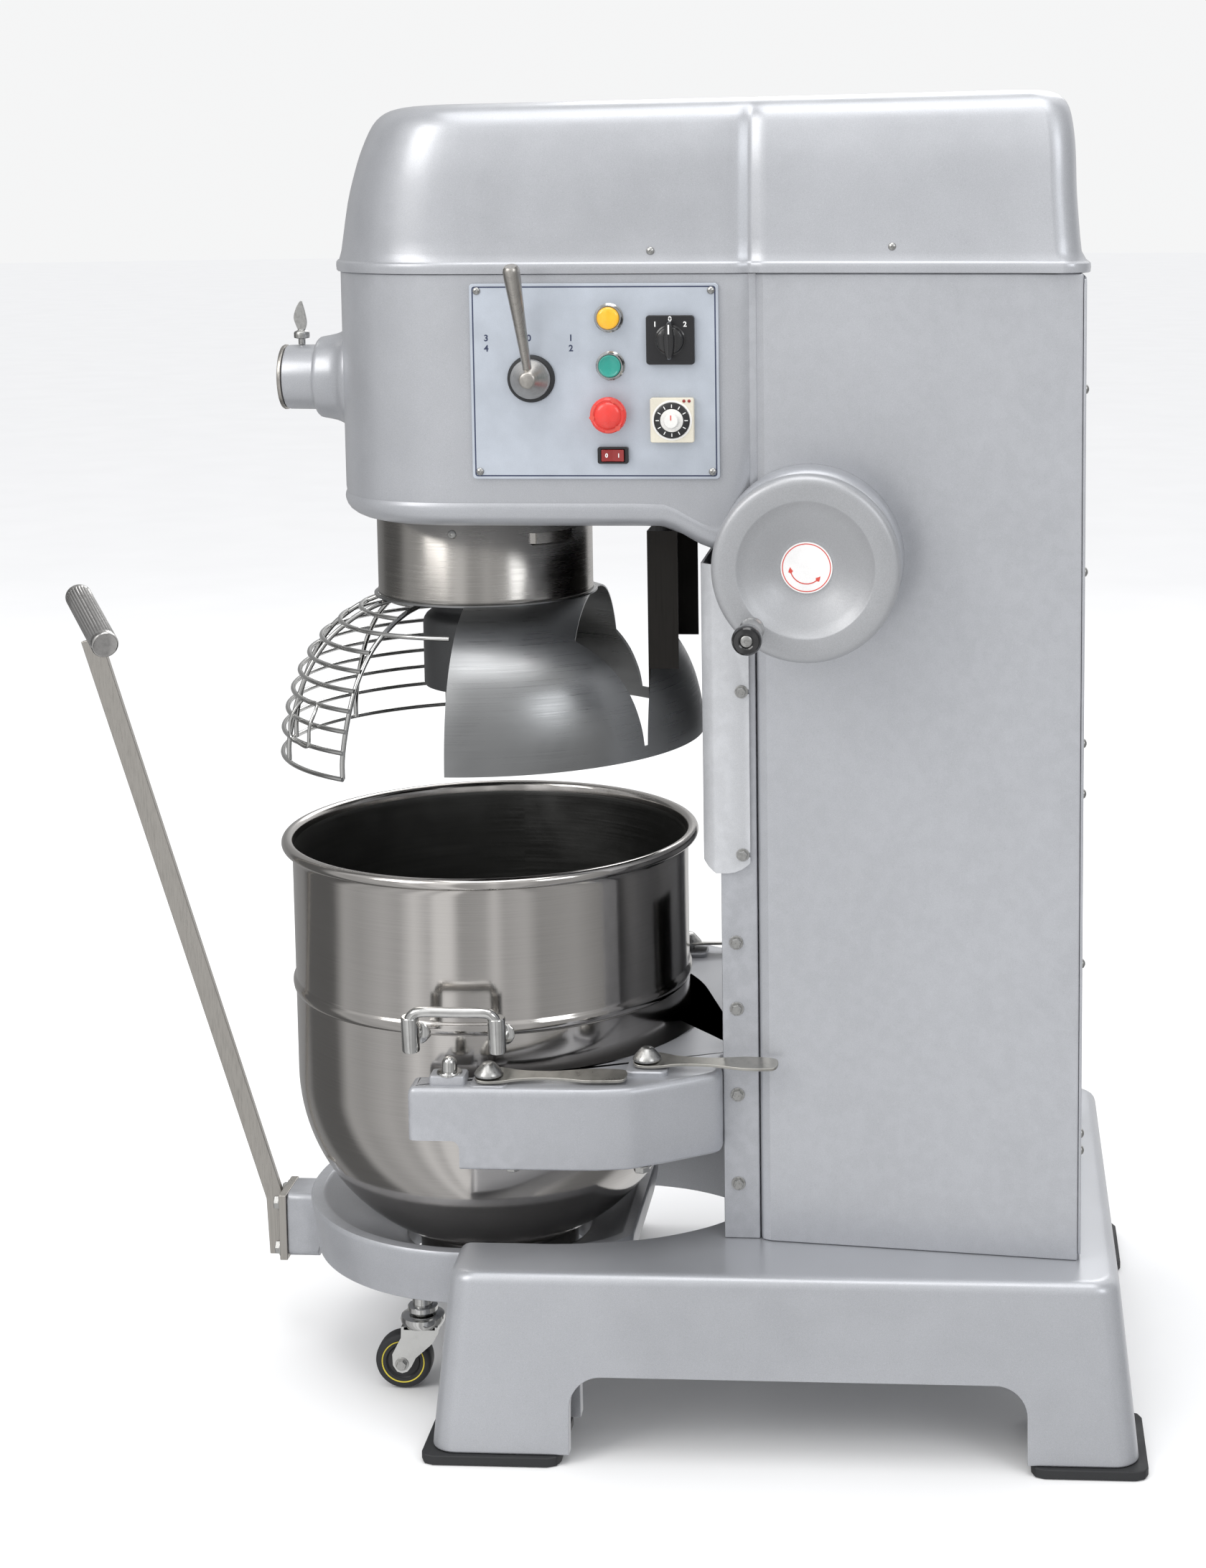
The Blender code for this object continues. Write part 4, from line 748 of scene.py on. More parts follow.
wing = [(-3.6, HUB_Z + 54.0), (-5.8, HUB_Z + 59.0), (-8.4, HUB_Z + 67.0), (-7.6, HUB_Z + 74.0), (-4.4, HUB_Z + 82.0), (0.0, HUB_Z + 88.0),
        (1.8, HUB_Z + 84.0), (4.4, HUB_Z + 74.0), (6.0, HUB_Z + 64.0), (5.2, HUB_Z + 58.0), (3.6, HUB_Z + 54.0)]
prism([(-209.0 + q[0], q[1]) for q in spline([(p[0], p[1], 0) for p in wing], 4)], -2.2, 2.2, "X", bm=bm)
emit(bm, "hub_thumb_screw_fine", "hub_screw", SCREW_M, ["hub_thumb_screw"], smooth=36.0, bevel=0.5, segs=2)

# ------------------------------------------------------------------ collar, bell, cage
emit(lathe([(118.0, 1002.4), (123.4, 1002.4), (124.0, 1001.6), (124.0, 911.0), (124.5, 910.0), (124.5, 906.0), (123.8, 905.0), (121.5, 905.0),
            (121.5, 1000.0)], 144, closed=True), "collar_ring_fine", "machine", COLLAR_M, ["collar_ring"], smooth=38.0)
bm = bmesh.new()
domescrew(bm, (124.0 * math.cos(math.radians(-7.0)), 124.0 * math.sin(math.radians(-7.0)), 985.0), (math.cos(math.radians(-7.0)), math.sin(math.radians(-7.0)), 0), 5.0, 2.2)
domescrew(bm, (124.0 * math.cos(math.radians(-98.0)), 124.0 * math.sin(math.radians(-98.0)), 985.0), (math.cos(math.radians(-98.0)), math.sin(math.radians(-98.0)), 0), 5.0, 2.2)
domescrew(bm, (124.0 * math.cos(math.radians(172.0)), 124.0 * math.sin(math.radians(172.0)), 985.0), (math.cos(math.radians(172.0)), math.sin(math.radians(172.0)), 0), 5.0, 2.2)
emit(bm, "collar_screws", "machine", SCREW_M, smooth=40.0)

bm = bmesh.new()
for k in range(1):
    lo_a, hi_a = 33.0, 62.0
    o1 = [polar(124.0 + (6.0 if 36.0 < a < 59.0 else 0.4), a, 0.0)[:2] for a in (lo_a, 35.6, 36.4, 42.0, 48.0, 54.0, 58.6, 59.4, hi_a)]
    i1 = [polar(122.6 + (6.0 if 36.0 < a < 59.0 else 0.4), a, 0.0)[:2] for a in (lo_a, 36.4, 37.2, 42.0, 48.0, 54.0, 57.8, 58.6, hi_a)]
    prism(o1 + i1[::-1], 972.0, 984.0, bm=bm)
emit(bm, "collar_tab", "machine", COLLAR_M, smooth=36.0)

BELL = [(126.0, 904.6), (150.0, 897.0), (178.0, 883.0), (205.0, 861.0), (226.0, 835.0), (240.0, 806.0), (248.0, 776.0), (251.0, 752.0), (251.6, 738.0)]


def sheet_profile(profile, t):
    back = []
    n = len(profile)
    for i in range(n):
        a, b2 = Vector(profile[max(i - 1, 0)][:2]), Vector(profile[min(i + 1, n - 1)][:2])
        d = (b2 - a).normalized()
        nn = Vector((d.y, -d.x))
        if nn.x > 0:
            nn = -nn
        back.append(tuple(Vector(profile[i][:2]) + nn * t))
    return [tuple(p[:2]) for p in profile] + back[::-1]


def sector(profile, a0, a1, n, bm=None):
    loops = []
    for k in range(n + 1):
        a = math.radians(a0 + (a1 - a0) * k / n)
        loops.append([(r * math.cos(a), r * math.sin(a), z) for r, z in profile])
    return rings(loops, bm=bm)


bell_p = [(r, z) for r, z, _ in spline([(r, z, 0.0) for r, z in BELL], 4)]
bell = emit(sector(sheet_profile(bell_p, 1.8), -1.0, 196.0, 110), "guard_bell_fine", "machine", BELL_M, ["guard_bell"], smooth=40.0)
applied(bell, box(-196.0, 150.0, 125.0, 204.0, 752.0, 960.0))
bm = lathe([(124.6, 905.4), (129.0, 904.9), (129.0, 902.9), (124.6, 903.4)], 144, closed=True)
emit(bm, "bell_flange", "machine", BELL_M, smooth=40.0)

CAGE = [(112.0, 899.0), (134.0, 893.0), (160.0, 880.0), (188.0, 858.0), (209.0, 829.0), (222.0, 800.0), (231.0, 770.0), (236.0, 744.0), (236.5, 723.0)]
cage_p = [(r, z) for r, z, _ in spline([(r, z, 0.0) for r, z in CAGE], 5)]


def cage_r(z):
    for (r0, z0), (r1, z1) in zip(cage_p, cage_p[1:]):
        if z0 >= z >= z1:
            return r0 + (r1 - r0) * (z0 - z) / max(z0 - z1, 1e-6)
    return cage_p[-1][0]


def polar(r, deg, z):
    return (r * math.cos(math.radians(deg)), r * math.sin(math.radians(deg)), z)


bm = bmesh.new()
for a in (-33.0, -64.0, -95.0, -126.0, -157.0, -186.0):
    tube([polar(r - 0.9, a, z) for r, z in cage_p], 2.9, 12, bm=bm)
for i, z in enumerate([899.0, 889.0, 875.0, 857.0, 838.0, 818.0, 797.0, 775.0, 752.0, 723.0]):
    r = cage_r(z) + 1.4
    a0 = -32.4 if i != 2 else -4.0
    n = 64
    tube([polar(r, a0 + (-185.4 - a0) * k / n, z) for k in range(n + 1)], 2.7, 12, bm=bm)
# small latch loop at the lower front of the cage
r1 = cage_r(797.0) + 3.0
r2 = cage_r(752.0) + 4.2
loop = [polar(r1, -47.0, 797.0), polar(r1 + 0.3, -52.0, 797.0), polar(r1 + 0.6, -57.0, 796.0), polar(r2, -58.0, 775.0), polar(r2, -58.0, 754.0),
        polar(r2, -53.0, 752.0), polar(r2, -47.0, 752.0), polar(r2 - 0.5, -46.0, 775.0)]
tube(spline(loop, 4, closed=True), 2.1, 10, closed=True, bm=bm)
emit(bm, "guard_cage_fine", "cage", CHROME, ["guard_cage"], smooth=60.0)

# ------------------------------------------------------------------ planetary drive
PLANET_E = 52.0
emit(lathe([(16.8, 793.4), (22.0, 793.0), (69.0, 793.0), (72.4, 794.4), (74.0, 798.0), (74.0, 868.0), (73.0, 873.0), (70.0, 877.6), (64.6, 882.0),
            (63.0, 886.0), (63.0, 904.0), (75.0, 905.4), (76.0, 907.0), (76.0, 926.0), (20.0, 926.0), (20.0, 1118.0), (124.0, 1118.0), (124.7, 1119.0),
            (124.7, 1143.0), (124.0, 1144.0), (20.0, 1144.0), (20.0, 1236.0), (16.8, 1236.0)], 96), "planetary_hub_fine", "planetary", CAST_DARK,
     ["planetary_hub"], smooth=36.0)
emit(lathe([(9.0, 746.0), (12.0, 746.6), (13.6, 748.6), (15.5, 751.0), (15.5, 770.0), (15.0, 771.0), (15.0, 776.0), (15.5, 777.0), (15.5, 929.0),
            (27.0, 930.0), (27.6, 931.0), (27.6, 959.4), (27.0, 960.0), (15.5, 960.0), (15.5, 970.0)], 64, (0.0, PLANET_E, 0.0)),
     "agitator_shaft_fine", "agitator", MACHINED, ["agitator_shaft"], smooth=36.0)
bm = spun([(4.0, -27.0), (4.6, -26.0), (4.6, 26.0), (4.0, 27.0)], 20, (0.0, PLANET_E, 760.0), (1.0, 0.0, 0.0))
emit(bm, "agitator_drive_pin", "agitator", MACHINED, smooth=40.0)
for n, m in (("ring_gear", MACHINED), ("lay_shaft", MACHINED), ("drive_motor", MOTOR_M), ("motor_pulley", CAST_DARK), ("drive_belt", BELT_M),
             ("lift_screw", MACHINED), ("wheel_shaft", MACHINED)):
    dress(n, m)

# ------------------------------------------------------------------ control panel
PX0, PX1 = 218.4, 221.8
PF = PX1 + 0.3
LAMP, START, STOP = (178.2, 1231.6), (179.2, 1180.6), (178.2, 1129.1)
SEL, TIMER, ROCK, SHIFT = (243.9, 1208.1), (245.2, 1122.9), (181.0, 1085.0), (94.0, 1167.0)


def panel_loop(d, x):
    return [(x, y, z) for y, z in rrect(28.5 + d, 295.0 - d, 1059.0 + d, 1268.0 - d, 4.0, 6)]


bm = rings([panel_loop(0.3, PX0), panel_loop(0.0, PX0 + 0.4), panel_loop(0.0, PX1 - 0.5), panel_loop(0.5, PX1)])
panel = emit(bm, "control_panel_fine", "machine", SHEET, ["control_panel"], smooth=30.0)
applied(panel, lathe([(10.5, 200.0), (10.5, 240.0)], 32, (0.0, SHIFT[0], SHIFT[1]), "X"))


def frame_line(y0, y1, z0, z1, w, r, x, h, bm=None):
    a = rrect(y0, y1, z0, z1, r, 6)
    b2 = rrect(y0 + w, y1 - w, z0 + w, z1 - w, max(r - w, 0.4), 6)
    return rings([[(x, *p) for p in a], [(x + h, *p) for p in a], [(x + h, *p) for p in b2], [(x, *p) for p in b2]], closed=True, bm=bm)


bm = frame_line(31.3, 292.2, 1061.8, 1265.2, 1.5, 3.0, PX1 - 0.05, 0.14)
emit(bm, "panel_border_line", "machine", PRINT, smooth=30.0)
bm = bmesh.new()
for y, z in ((36.6, 1260.4), (287.2, 1260.4), (36.6, 1067.0), (287.2, 1067.0)):
    domescrew(bm, (PX1, y, z), (1, 0, 0), 4.2, 2.2)
emit(bm, "panel_screws", "machine", SCREW_M, smooth=40.0)
bm = bmesh.new()
for (y, z), ro, ri, h in ((LAMP, 14.4, 12.2, 8.0), (START, 14.4, 12.2, 8.0), (STOP, 14.8, 11.4, 6.0)):
    lathe([(ro + 1.2, PX1 - 0.5), (ro + 1.2, PX1 + 1.8), (ro, PX1 + 2.8), (ro, PF + h - 1.0), (ro - 0.8, PF + h), (ri + 0.3, PF + h), (ri, PF + h - 0.4),
           (ri, PX1 - 0.5)], 56, (0.0, y, z), "X", closed=True, bm=bm)
emit(bm, "button_collars", "machine", CHROME, smooth=36.0)


def cap(name, node, body, mat, c, prof, smooth=38.0, segs=64):
    return emit(lathe(prof, segs, (0.0, c[0], c[1]), "X"), name, body, mat, [node], smooth=smooth)


cap("lamp_button_fine", "lamp_button", "lamp", AMBER, LAMP,
    [(11.8, PF + 5.0), (11.8, PF + 9.4), (11.2, PF + 10.6), (9.6, PF + 11.5), (6.5, PF + 12.1), (0.2, PF + 12.4)])
cap("start_button_fine", "start_button", "start", GREEN, START,
    [(11.8, PF + 5.0), (11.8, PF + 10.0), (11.3, PF + 10.8), (10.4, PF + 11.0), (9.6, PF + 10.5), (5.0, PF + 10.0), (0.2, PF + 9.9)])
cap("stop_button_fine", "stop_button", "stop", RED, STOP,
    [(10.9, PF + 5.0), (10.9, PF + 12.0), (17.5, PF + 13.0), (19.1, PF + 13.8), (19.5, PF + 15.2), (19.4, PF + 18.4), (18.4, PF + 20.4), (16.6, PF + 21.6),
     (15.6, PF + 20.9), (14.4, PF + 20.9), (13.4, PF + 22.4), (10.0, PF + 23.8), (6.0, PF + 24.7), (0.2, PF + 25.0)], segs=72)
# curved arrows moulded on the stop button
bm = bmesh.new()
for a0 in (20.0, 140.0, 260.0):
    pts_o, pts_i = [], []
    for k in range(9):
        a = math.radians(a0 + 62.0 * k / 8)
        w = 1.3 if k < 6 else (3.2, 2.0, 0.2)[k - 6]
        rr = 17.0
        pts_o.append((STOP[0] + (rr + w) * math.cos(a), STOP[1] + (rr + w) * math.sin(a)))
        pts_i.append((STOP[0] + (rr - w) * math.cos(a), STOP[1] + (rr - w) * math.sin(a)))
    prism(pts_o + pts_i[::-1], PF + 20.2, PF + 21.9, "X", bm=bm)
emit(bm, "stop_button_arrows", "stop", PRINT_R, smooth=30.0)

refine("selector_plate", BLACK, bevel=1.0, segs=3)
bm = lathe([(16.4, PF + 5.6), (16.4, PF + 7.0), (15.0, PF + 7.6), (14.2, PF + 12.0), (13.0, PF + 13.0), (0.3, PF + 13.0)], 56, (0.0, SEL[0], SEL[1]), "X")
oval = []
for k in range(36):
    a = 2 * math.pi * k / 36
    oval.append((SEL[0] + 5.6 * math.copysign(abs(math.cos(a)) ** 0.8, math.cos(a)), SEL[1] + 20.0 * math.sin(a)))
rings([[(PF + 8.0, *p) for p in oval], [(PF + 18.6, *p) for p in oval],
       [(PF + 20.4, SEL[0] + (p[0] - SEL[0]) * 0.86, SEL[1] + (p[1] - SEL[1]) * 0.95) for p in oval],
       [(PF + 21.0, SEL[0] + (p[0] - SEL[0]) * 0.6, SEL[1] + (p[1] - SEL[1]) * 0.86) for p in oval]], bm=bm)
emit(bm, "selector_knob_fine", "selector", KNOB_BLACK, ["selector_knob"], smooth=40.0)
bm = box(PF + 20.7, PF + 21.2, SEL[0] - 0.8, SEL[0] + 0.8, SEL[1] + 7.0, SEL[1] + 17.0)
emit(bm, "selector_pointer", "selector", PRINT_W, smooth=30.0)
for t, dy, dz in (("0", 0.0, 22.6), ("1", -16.0, 17.0), ("2", 16.0, 17.0)):
    glyph(t, 7.5, SEL[0] + dy, SEL[1] + dz - 0.4, PF + 6.05, "selector_mark_" + t, "machine", PRINT_W)
bm = frame_line(SEL[0] - 23.0, SEL[0] + 23.0, SEL[1] - 23.4, SEL[1] + 23.4, 0.5, 3.0, PF + 5.95, 0.25)
emit(bm, "selector_rim_line", "machine", BLACK, smooth=30.0)

refine("timer_body", CREAM, bevel=1.2, segs=3)
bm = lathe([(21.4, PF + 8.6), (21.4, PF + 9.6), (20.6, PF + 10.0), (19.4, PF + 10.0), (19.4, PF + 9.1), (0.3, PF + 9.05)], 72, (0.0, TIMER[0], TIMER[1]), "X")
emit(bm, "timer_face_ring", "machine", WHITE, smooth=36.0)
bm = lathe([(18.8, PF + 9.3), (19.0, PF + 9.7), (19.0, PF + 11.0), (18.2, PF + 11.6), (12.4, PF + 12.0), (12.4, PF + 9.3)], 72, (0.0, TIMER[0], TIMER[1]), "X", closed=True)
ring = emit(bm, "timer_scale_ring", "timer", BLACK, smooth=36.0)
bm = bmesh.new()
for k in range(12):
    a = math.radians(30.0 * k + 90.0)
    c, s = math.cos(a), math.sin(a)
    w = 0.45
    quad = [(13.6, -w), (17.2, -w), (17.2, w), (13.6, w)]
    prism([(TIMER[0] + r * c - t * s, TIMER[1] + r * s + t * c) for r, t in quad], PF + 11.5, PF + 12.15, "X", bm=bm)
emit(bm, "timer_scale_marks", "timer", PRINT_W, smooth=30.0)
bm = lathe([(12.3, PF + 9.4), (12.3, PF + 12.0), (11.6, PF + 12.9), (8.8, PF + 13.2), (8.2, PF + 14.0), (7.6, PF + 20.2), (6.9, PF + 21.0), (0.3, PF + 21.0)],
           64, (0.0, TIMER[0], TIMER[1]), "X")
emit(bm, "timer_dial_fine", "timer", WHITE, ["timer_dial"], smooth=36.0)
bm = box(PF + 20.8, PF + 21.25, TIMER[0] - 0.6, TIMER[0] + 0.6, TIMER[1] + 1.0, TIMER[1] + 6.4)
emit(bm, "timer_pointer", "timer", PRINT_R, smooth=30.0)
bm = lathe([(1.7, PF + 8.7), (1.7, PF + 9.4), (1.2, PF + 9.9), (0.2, PF + 10.0)], 20, (0.0, TIMER[0] + 13.0, TIMER[1] + 20.6), "X")
lathe([(1.7, PF + 8.7), (1.7, PF + 9.4), (1.2, PF + 9.9), (0.2, PF + 10.0)], 20, (0.0, TIMER[0] + 18.5, TIMER[1] + 20.6), "X", bm=bm)
emit(bm, "timer_lamps", "machine", RED_DARK, smooth=40.0)

refine("rocker_frame", BLACK, bevel=0.8, segs=2)
refine("rocker_switch", RED_DARK, bevel=0.7, segs=3)
glyph("0", 6.0, ROCK[0] - 6.5, ROCK[1], PF + 7.9, "rocker_mark_0", "rocker", PRINT_W)
glyph("1", 6.0, ROCK[0] + 6.5, ROCK[1], PF + 7.9, "rocker_mark_1", "rocker", PRINT_W)
for t, y, z in (("3", 46.0, 1210.0), ("4", 46.0, 1199.0), ("0", 92.0, 1210.0), ("1", 137.0, 1210.0), ("2", 137.0, 1199.0)):
    glyph(t, 9.5, y, z, PX1 + 0.02, "panel_mark_%s_%d" % (t, int(y)), "machine", PRINT)

emit(lathe([(25.4, PF - 0.3), (25.4, PF + 3.4), (24.4, PF + 5.4), (22.6, PF + 6.8), (20.5, PF + 7.2), (11.0, PF + 7.2), (11.0, PF - 0.3)], 72,
           (0.0, SHIFT[0], SHIFT[1]), "X", closed=True), "shift_gasket_fine", "machine", RUBBER, ["shift_gasket"], smooth=40.0)
bm = lathe([(9.5, 150.0), (9.5, PF + 7.4), (20.6, PF + 7.4), (21.5, PF + 8.0), (21.2, PF + 10.4), (19.6, PF + 13.0), (9.6, PF + 27.4), (8.4, PF + 29.0),
            (6.8, PF + 30.0), (0.3, PF + 30.2)], 64, (0.0, SHIFT[0], SHIFT[1]), "X")
L0, L1 = Vector((PF + 17.0, SHIFT[0], SHIFT[1] + 1.0)), Vector((PF + 66.0, SHIFT[0] - 9.0, SHIFT[1] + 122.0))
pts, rr = [], []
for t, r in ((0.0, 4.6), (0.15, 4.9), (0.35, 5.8), (0.55, 6.8), (0.75, 8.0), (0.90, 9.0), (0.955, 9.1), (0.985, 8.2), (1.0, 6.4)):
    pts.append(tuple(L0.lerp(L1, t)))
    rr.append(r)
tube(pts, rr, 32, bm=bm)
spun([(0.2, 0.0), (9.6, 0.0), (10.6, 1.0), (10.6, 13.0), (9.6, 14.0), (0.2, 14.0)], 40, tuple(L0 - (L1 - L0).normalized() * 9.0), tuple(L1 - L0), bm=bm)
emit(bm, "shift_lever_fine", "shifter", BRUSHED_X, ["shift_lever"], smooth=38.0)

# ------------------------------------------------------------------ hand wheel
WY, WZ = 391.5, 975.0


def face_x(y):
    return max(col_half(y), HEAD_HALF + 0.6 if y < 340.0 else 0.0) + 0.4


bl = []
for r, xf in ((11.6, None), (100.0, None), (99.6, 236.0), (99.2, 246.0), (98.0, 252.0), (95.6, 256.0), (92.0, 258.0), (11.6, 258.0)):
    lp = []
    for k in range(96):
        a = 2 * math.pi * k / 96
        y, z = WY + r * math.cos(a), WZ + r * math.sin(a)
        lp.append(((face_x(y) if xf is None else max(xf, face_x(y) + 0.5)), y, z))
    bl.append(lp)
emit(rings(bl, closed=True), "wheel_boss_fine", "machine", PAINT, ["wheel_boss"], smooth=44.0)
wp = [(11.4, 262.0), (40.0, 262.0), (60.0, 282.0), (95.0, 291.5), (98.0, 294.6), (99.0, 299.0), (99.0, 307.0), (98.6, 310.4), (97.4, 313.4), (95.4, 315.6),
      (92.6, 317.0), (89.0, 317.5), (73.4, 317.5), (72.0, 317.1), (71.0, 316.0), (60.0, 311.0), (50.0, 306.4), (40.0, 301.8), (31.6, 298.0), (28.0, 297.2), (11.4, 297.0)]
emit(lathe(wp, 128, (0.0, WY, WZ), "X", closed=True), "hand_wheel_fine", "wheel", PAINT_WHEEL, ["hand_wheel"], smooth=40.0)
bm = lathe([(0.3, 297.0), (27.0, 297.0), (27.2, 297.6), (26.9, 298.2), (0.3, 298.25)], 96, (0.0, WY, WZ), "X")
emit(bm, "wheel_centre_label", "wheel", LABEL, smooth=30.0)
bm = lathe([(24.6, 298.2), (24.6, 298.42), (25.6, 298.42), (25.6, 298.2)], 96, (0.0, WY, WZ), "X", closed=True)
o_, i_ = [], []
for k in range(29):
    a = math.radians(178.0 + 150.0 * k / 28)
    w = 0.55 if 4 <= k < 25 else ((0.1, 0.9, 1.8, 2.6)[k] if k < 4 else (2.6, 1.8, 0.9, 0.1)[k - 25])
    o_.append((WY + (17.0 + w) * math.cos(a), WZ + (17.0 + w) * math.sin(a)))
    i_.append((WY + (17.0 - w) * math.cos(a), WZ + (17.0 - w) * math.sin(a)))
prism(o_ + i_[::-1], 298.2, 298.42, "X", bm=bm)
emit(bm, "wheel_label_arrow", "wheel", PRINT_R, smooth=30.0)
CY, CZ = WY - 55.0, WZ - 60.0
bm = lathe([(8.5, 311.0), (8.5, 325.0), (9.4, 326.0), (12.6, 327.0), (13.0, 328.6), (13.0, 332.0), (12.2, 333.2), (11.6, 334.0), (11.0, 350.0), (11.0, 372.0),
            (10.4, 379.0), (9.6, 380.4)], 56, (0.0, CY, CZ), "X")
emit(bm, "crank_pin", "wheel", CHROME, smooth=38.0)
bm = lathe([(12.0, 380.8), (14.4, 381.6), (15.4, 383.6), (15.5, 395.0), (14.8, 398.8), (12.6, 401.2), (8.4, 401.9), (7.0, 401.0), (6.6, 398.6), (0.3, 398.6)],
           64, (0.0, CY, CZ), "X")
emit(bm, "crank_knob_fine", "knob", KNOB_BLACK, ["crank_knob"], smooth=38.0)
bm = lathe([(6.0, 398.4), (6.0, 400.4), (5.2, 401.0), (2.0, 401.0), (1.8, 400.2), (0.2, 400.2)], 36, (0.0, CY, CZ), "X")
emit(bm, "crank_knob_screw", "knob", SCREW_M, smooth=38.0)

# ------------------------------------------------------------------ carriage and latches
def soft_corners(poly, r, n=5, skip=()):
    """Round the corners of a closed outline."""
    out = []
    m = len(poly)
    for i in range(m):
        p0, p1, p2 = Vector(poly[i - 1]), Vector(poly[i]), Vector(poly[(i + 1) % m])
        a, c = (p0 - p1), (p2 - p1)
        if i in skip or a.angle(c) > math.radians(168.0):
            out.append(tuple(p1))
            continue
        q = min(r, a.length * 0.45, c.length * 0.45)
        a0, c0 = p1 + a.normalized() * q, p1 + c.normalized() * q
        for k in range(n + 1):
            t = k / n
            out.append(tuple(a0.lerp(p1, t).lerp(p1.lerp(c0, t), t)))
    return out


def inset_poly(poly, d):
    m = len(poly)
    area2 = sum(poly[i - 1][0] * poly[i][1] - poly[i][0] * poly[i - 1][1] for i in range(m))
    sg = 1.0 if area2 > 0 else -1.0
    out = []
    for i in range(m):
        p0, p1, p2 = Vector(poly[i - 1]), Vector(poly[i]), Vector(poly[(i + 1) % m])
        e1, e2 = (p1 - p0).normalized(), (p2 - p1).normalized()
        n1, n2 = Vector((-e1.y, e1.x)), Vector((-e2.y, e2.x))
        b2 = (n1 + n2)
        b2 = b2.normalized() if b2.length > 1e-6 else n1
        out.append(tuple(p1 + b2 * (sg * d / max(b2.dot(n1), 0.4))))
    return out


yoke_poly = [(290.0, -46.0), (290.0, 120.0), (289.0, 160.0), (283.0, 196.0), (264.0, 230.0), (240.0, 268.0), (226.0, 289.6), (164.6, 289.6), (164.6, 322.0)]
yoke_poly += [(-x, y) for x, y in reversed(yoke_poly)]
inner_y = [(-248.0, -46.0), (-248.0, -20.0)] + [(248.0 * math.cos(math.radians(a)), 248.0 * math.sin(math.radians(a))) for a in range(180, -1, -5)] + [(248.0, -20.0), (248.0, -46.0)]
yk = soft_corners(yoke_poly + inner_y, 9.0, 4)
yrows = [(312.0, 5.0), (313.6, 2.0), (316.6, 0.2), (340.0, 0.0), (394.0, 0.0), (399.0, 0.8), (402.4, 3.0), (403.8, 6.2), (404.0, 9.0)]
yoke = emit(rings([[(x, y, z) for x, y in inset_poly(yk, d_)] for z, d_ in yrows]), "bowl_carriage_fine", "carriage", PAINT_CAST, ["bowl_carriage"], smooth=36.0)
applied(yoke, prism(arch_poly(-90.0, 10.0, 345.0, 9.0), -400.0, 400.0, "X"))
applied(yoke, lathe([(16.8, 300.0), (16.8, 420.0)], 48, (0.0, 391.5, 0.0)))
bm = rings([[(x, y, z) for x, y in rrect(-27.0, 27.0, 300.0, 380.0, 4.0)] for z in (331.0, 371.0)])
lathe([(16.8, 327.0), (29.0, 326.0), (30.0, 327.0), (30.0, 375.0), (29.0, 376.0), (16.8, 375.0)], 64, (0.0, 391.5, 0.0), closed=True, bm=bm)
emit(bm, "carriage_nut", "carriage", PAINT_CAST, smooth=40.0)
for s, nm in ((1.0, "near"), (-1.0, "far")):
    lx = sorted((252.0 * s, 280.0 * s))
    ll = rrect(lx[0], lx[1], -24.0, 16.0, 5.0)
    bm = rings([[(x, y, 402.0) for x, y in ll], [(x, y, 411.4) for x, y in ll], [(x, y, 413.4) for x, y in inset_poly(ll, 1.2)], [(x, y, 414.0) for x, y in inset_poly(ll, 3.4)]])
    ll2 = rrect(*sorted((244.0 * s, 284.0 * s)), 20.0, 62.0, 7.0)
    rings([[(x, y, 402.0) for x, y in ll2], [(x, y, 403.4) for x, y in ll2], [(x, y, 404.6) for x, y in inset_poly(ll2, 1.4)]], bm=bm)
    ll3 = rrect(*sorted((200.0 * s, 244.0 * s)), 186.0, 232.0, 9.0)
    rings([[(x, y, 402.0) for x, y in ll3], [(x, y, 408.0) for x, y in ll3], [(x, y, 409.4) for x, y in inset_poly(ll3, 1.6)]], bm=bm)
    emit(bm, "arm_pads_%s" % nm, "carriage", PAINT_CAST, smooth=38.0)
YK = 404.0
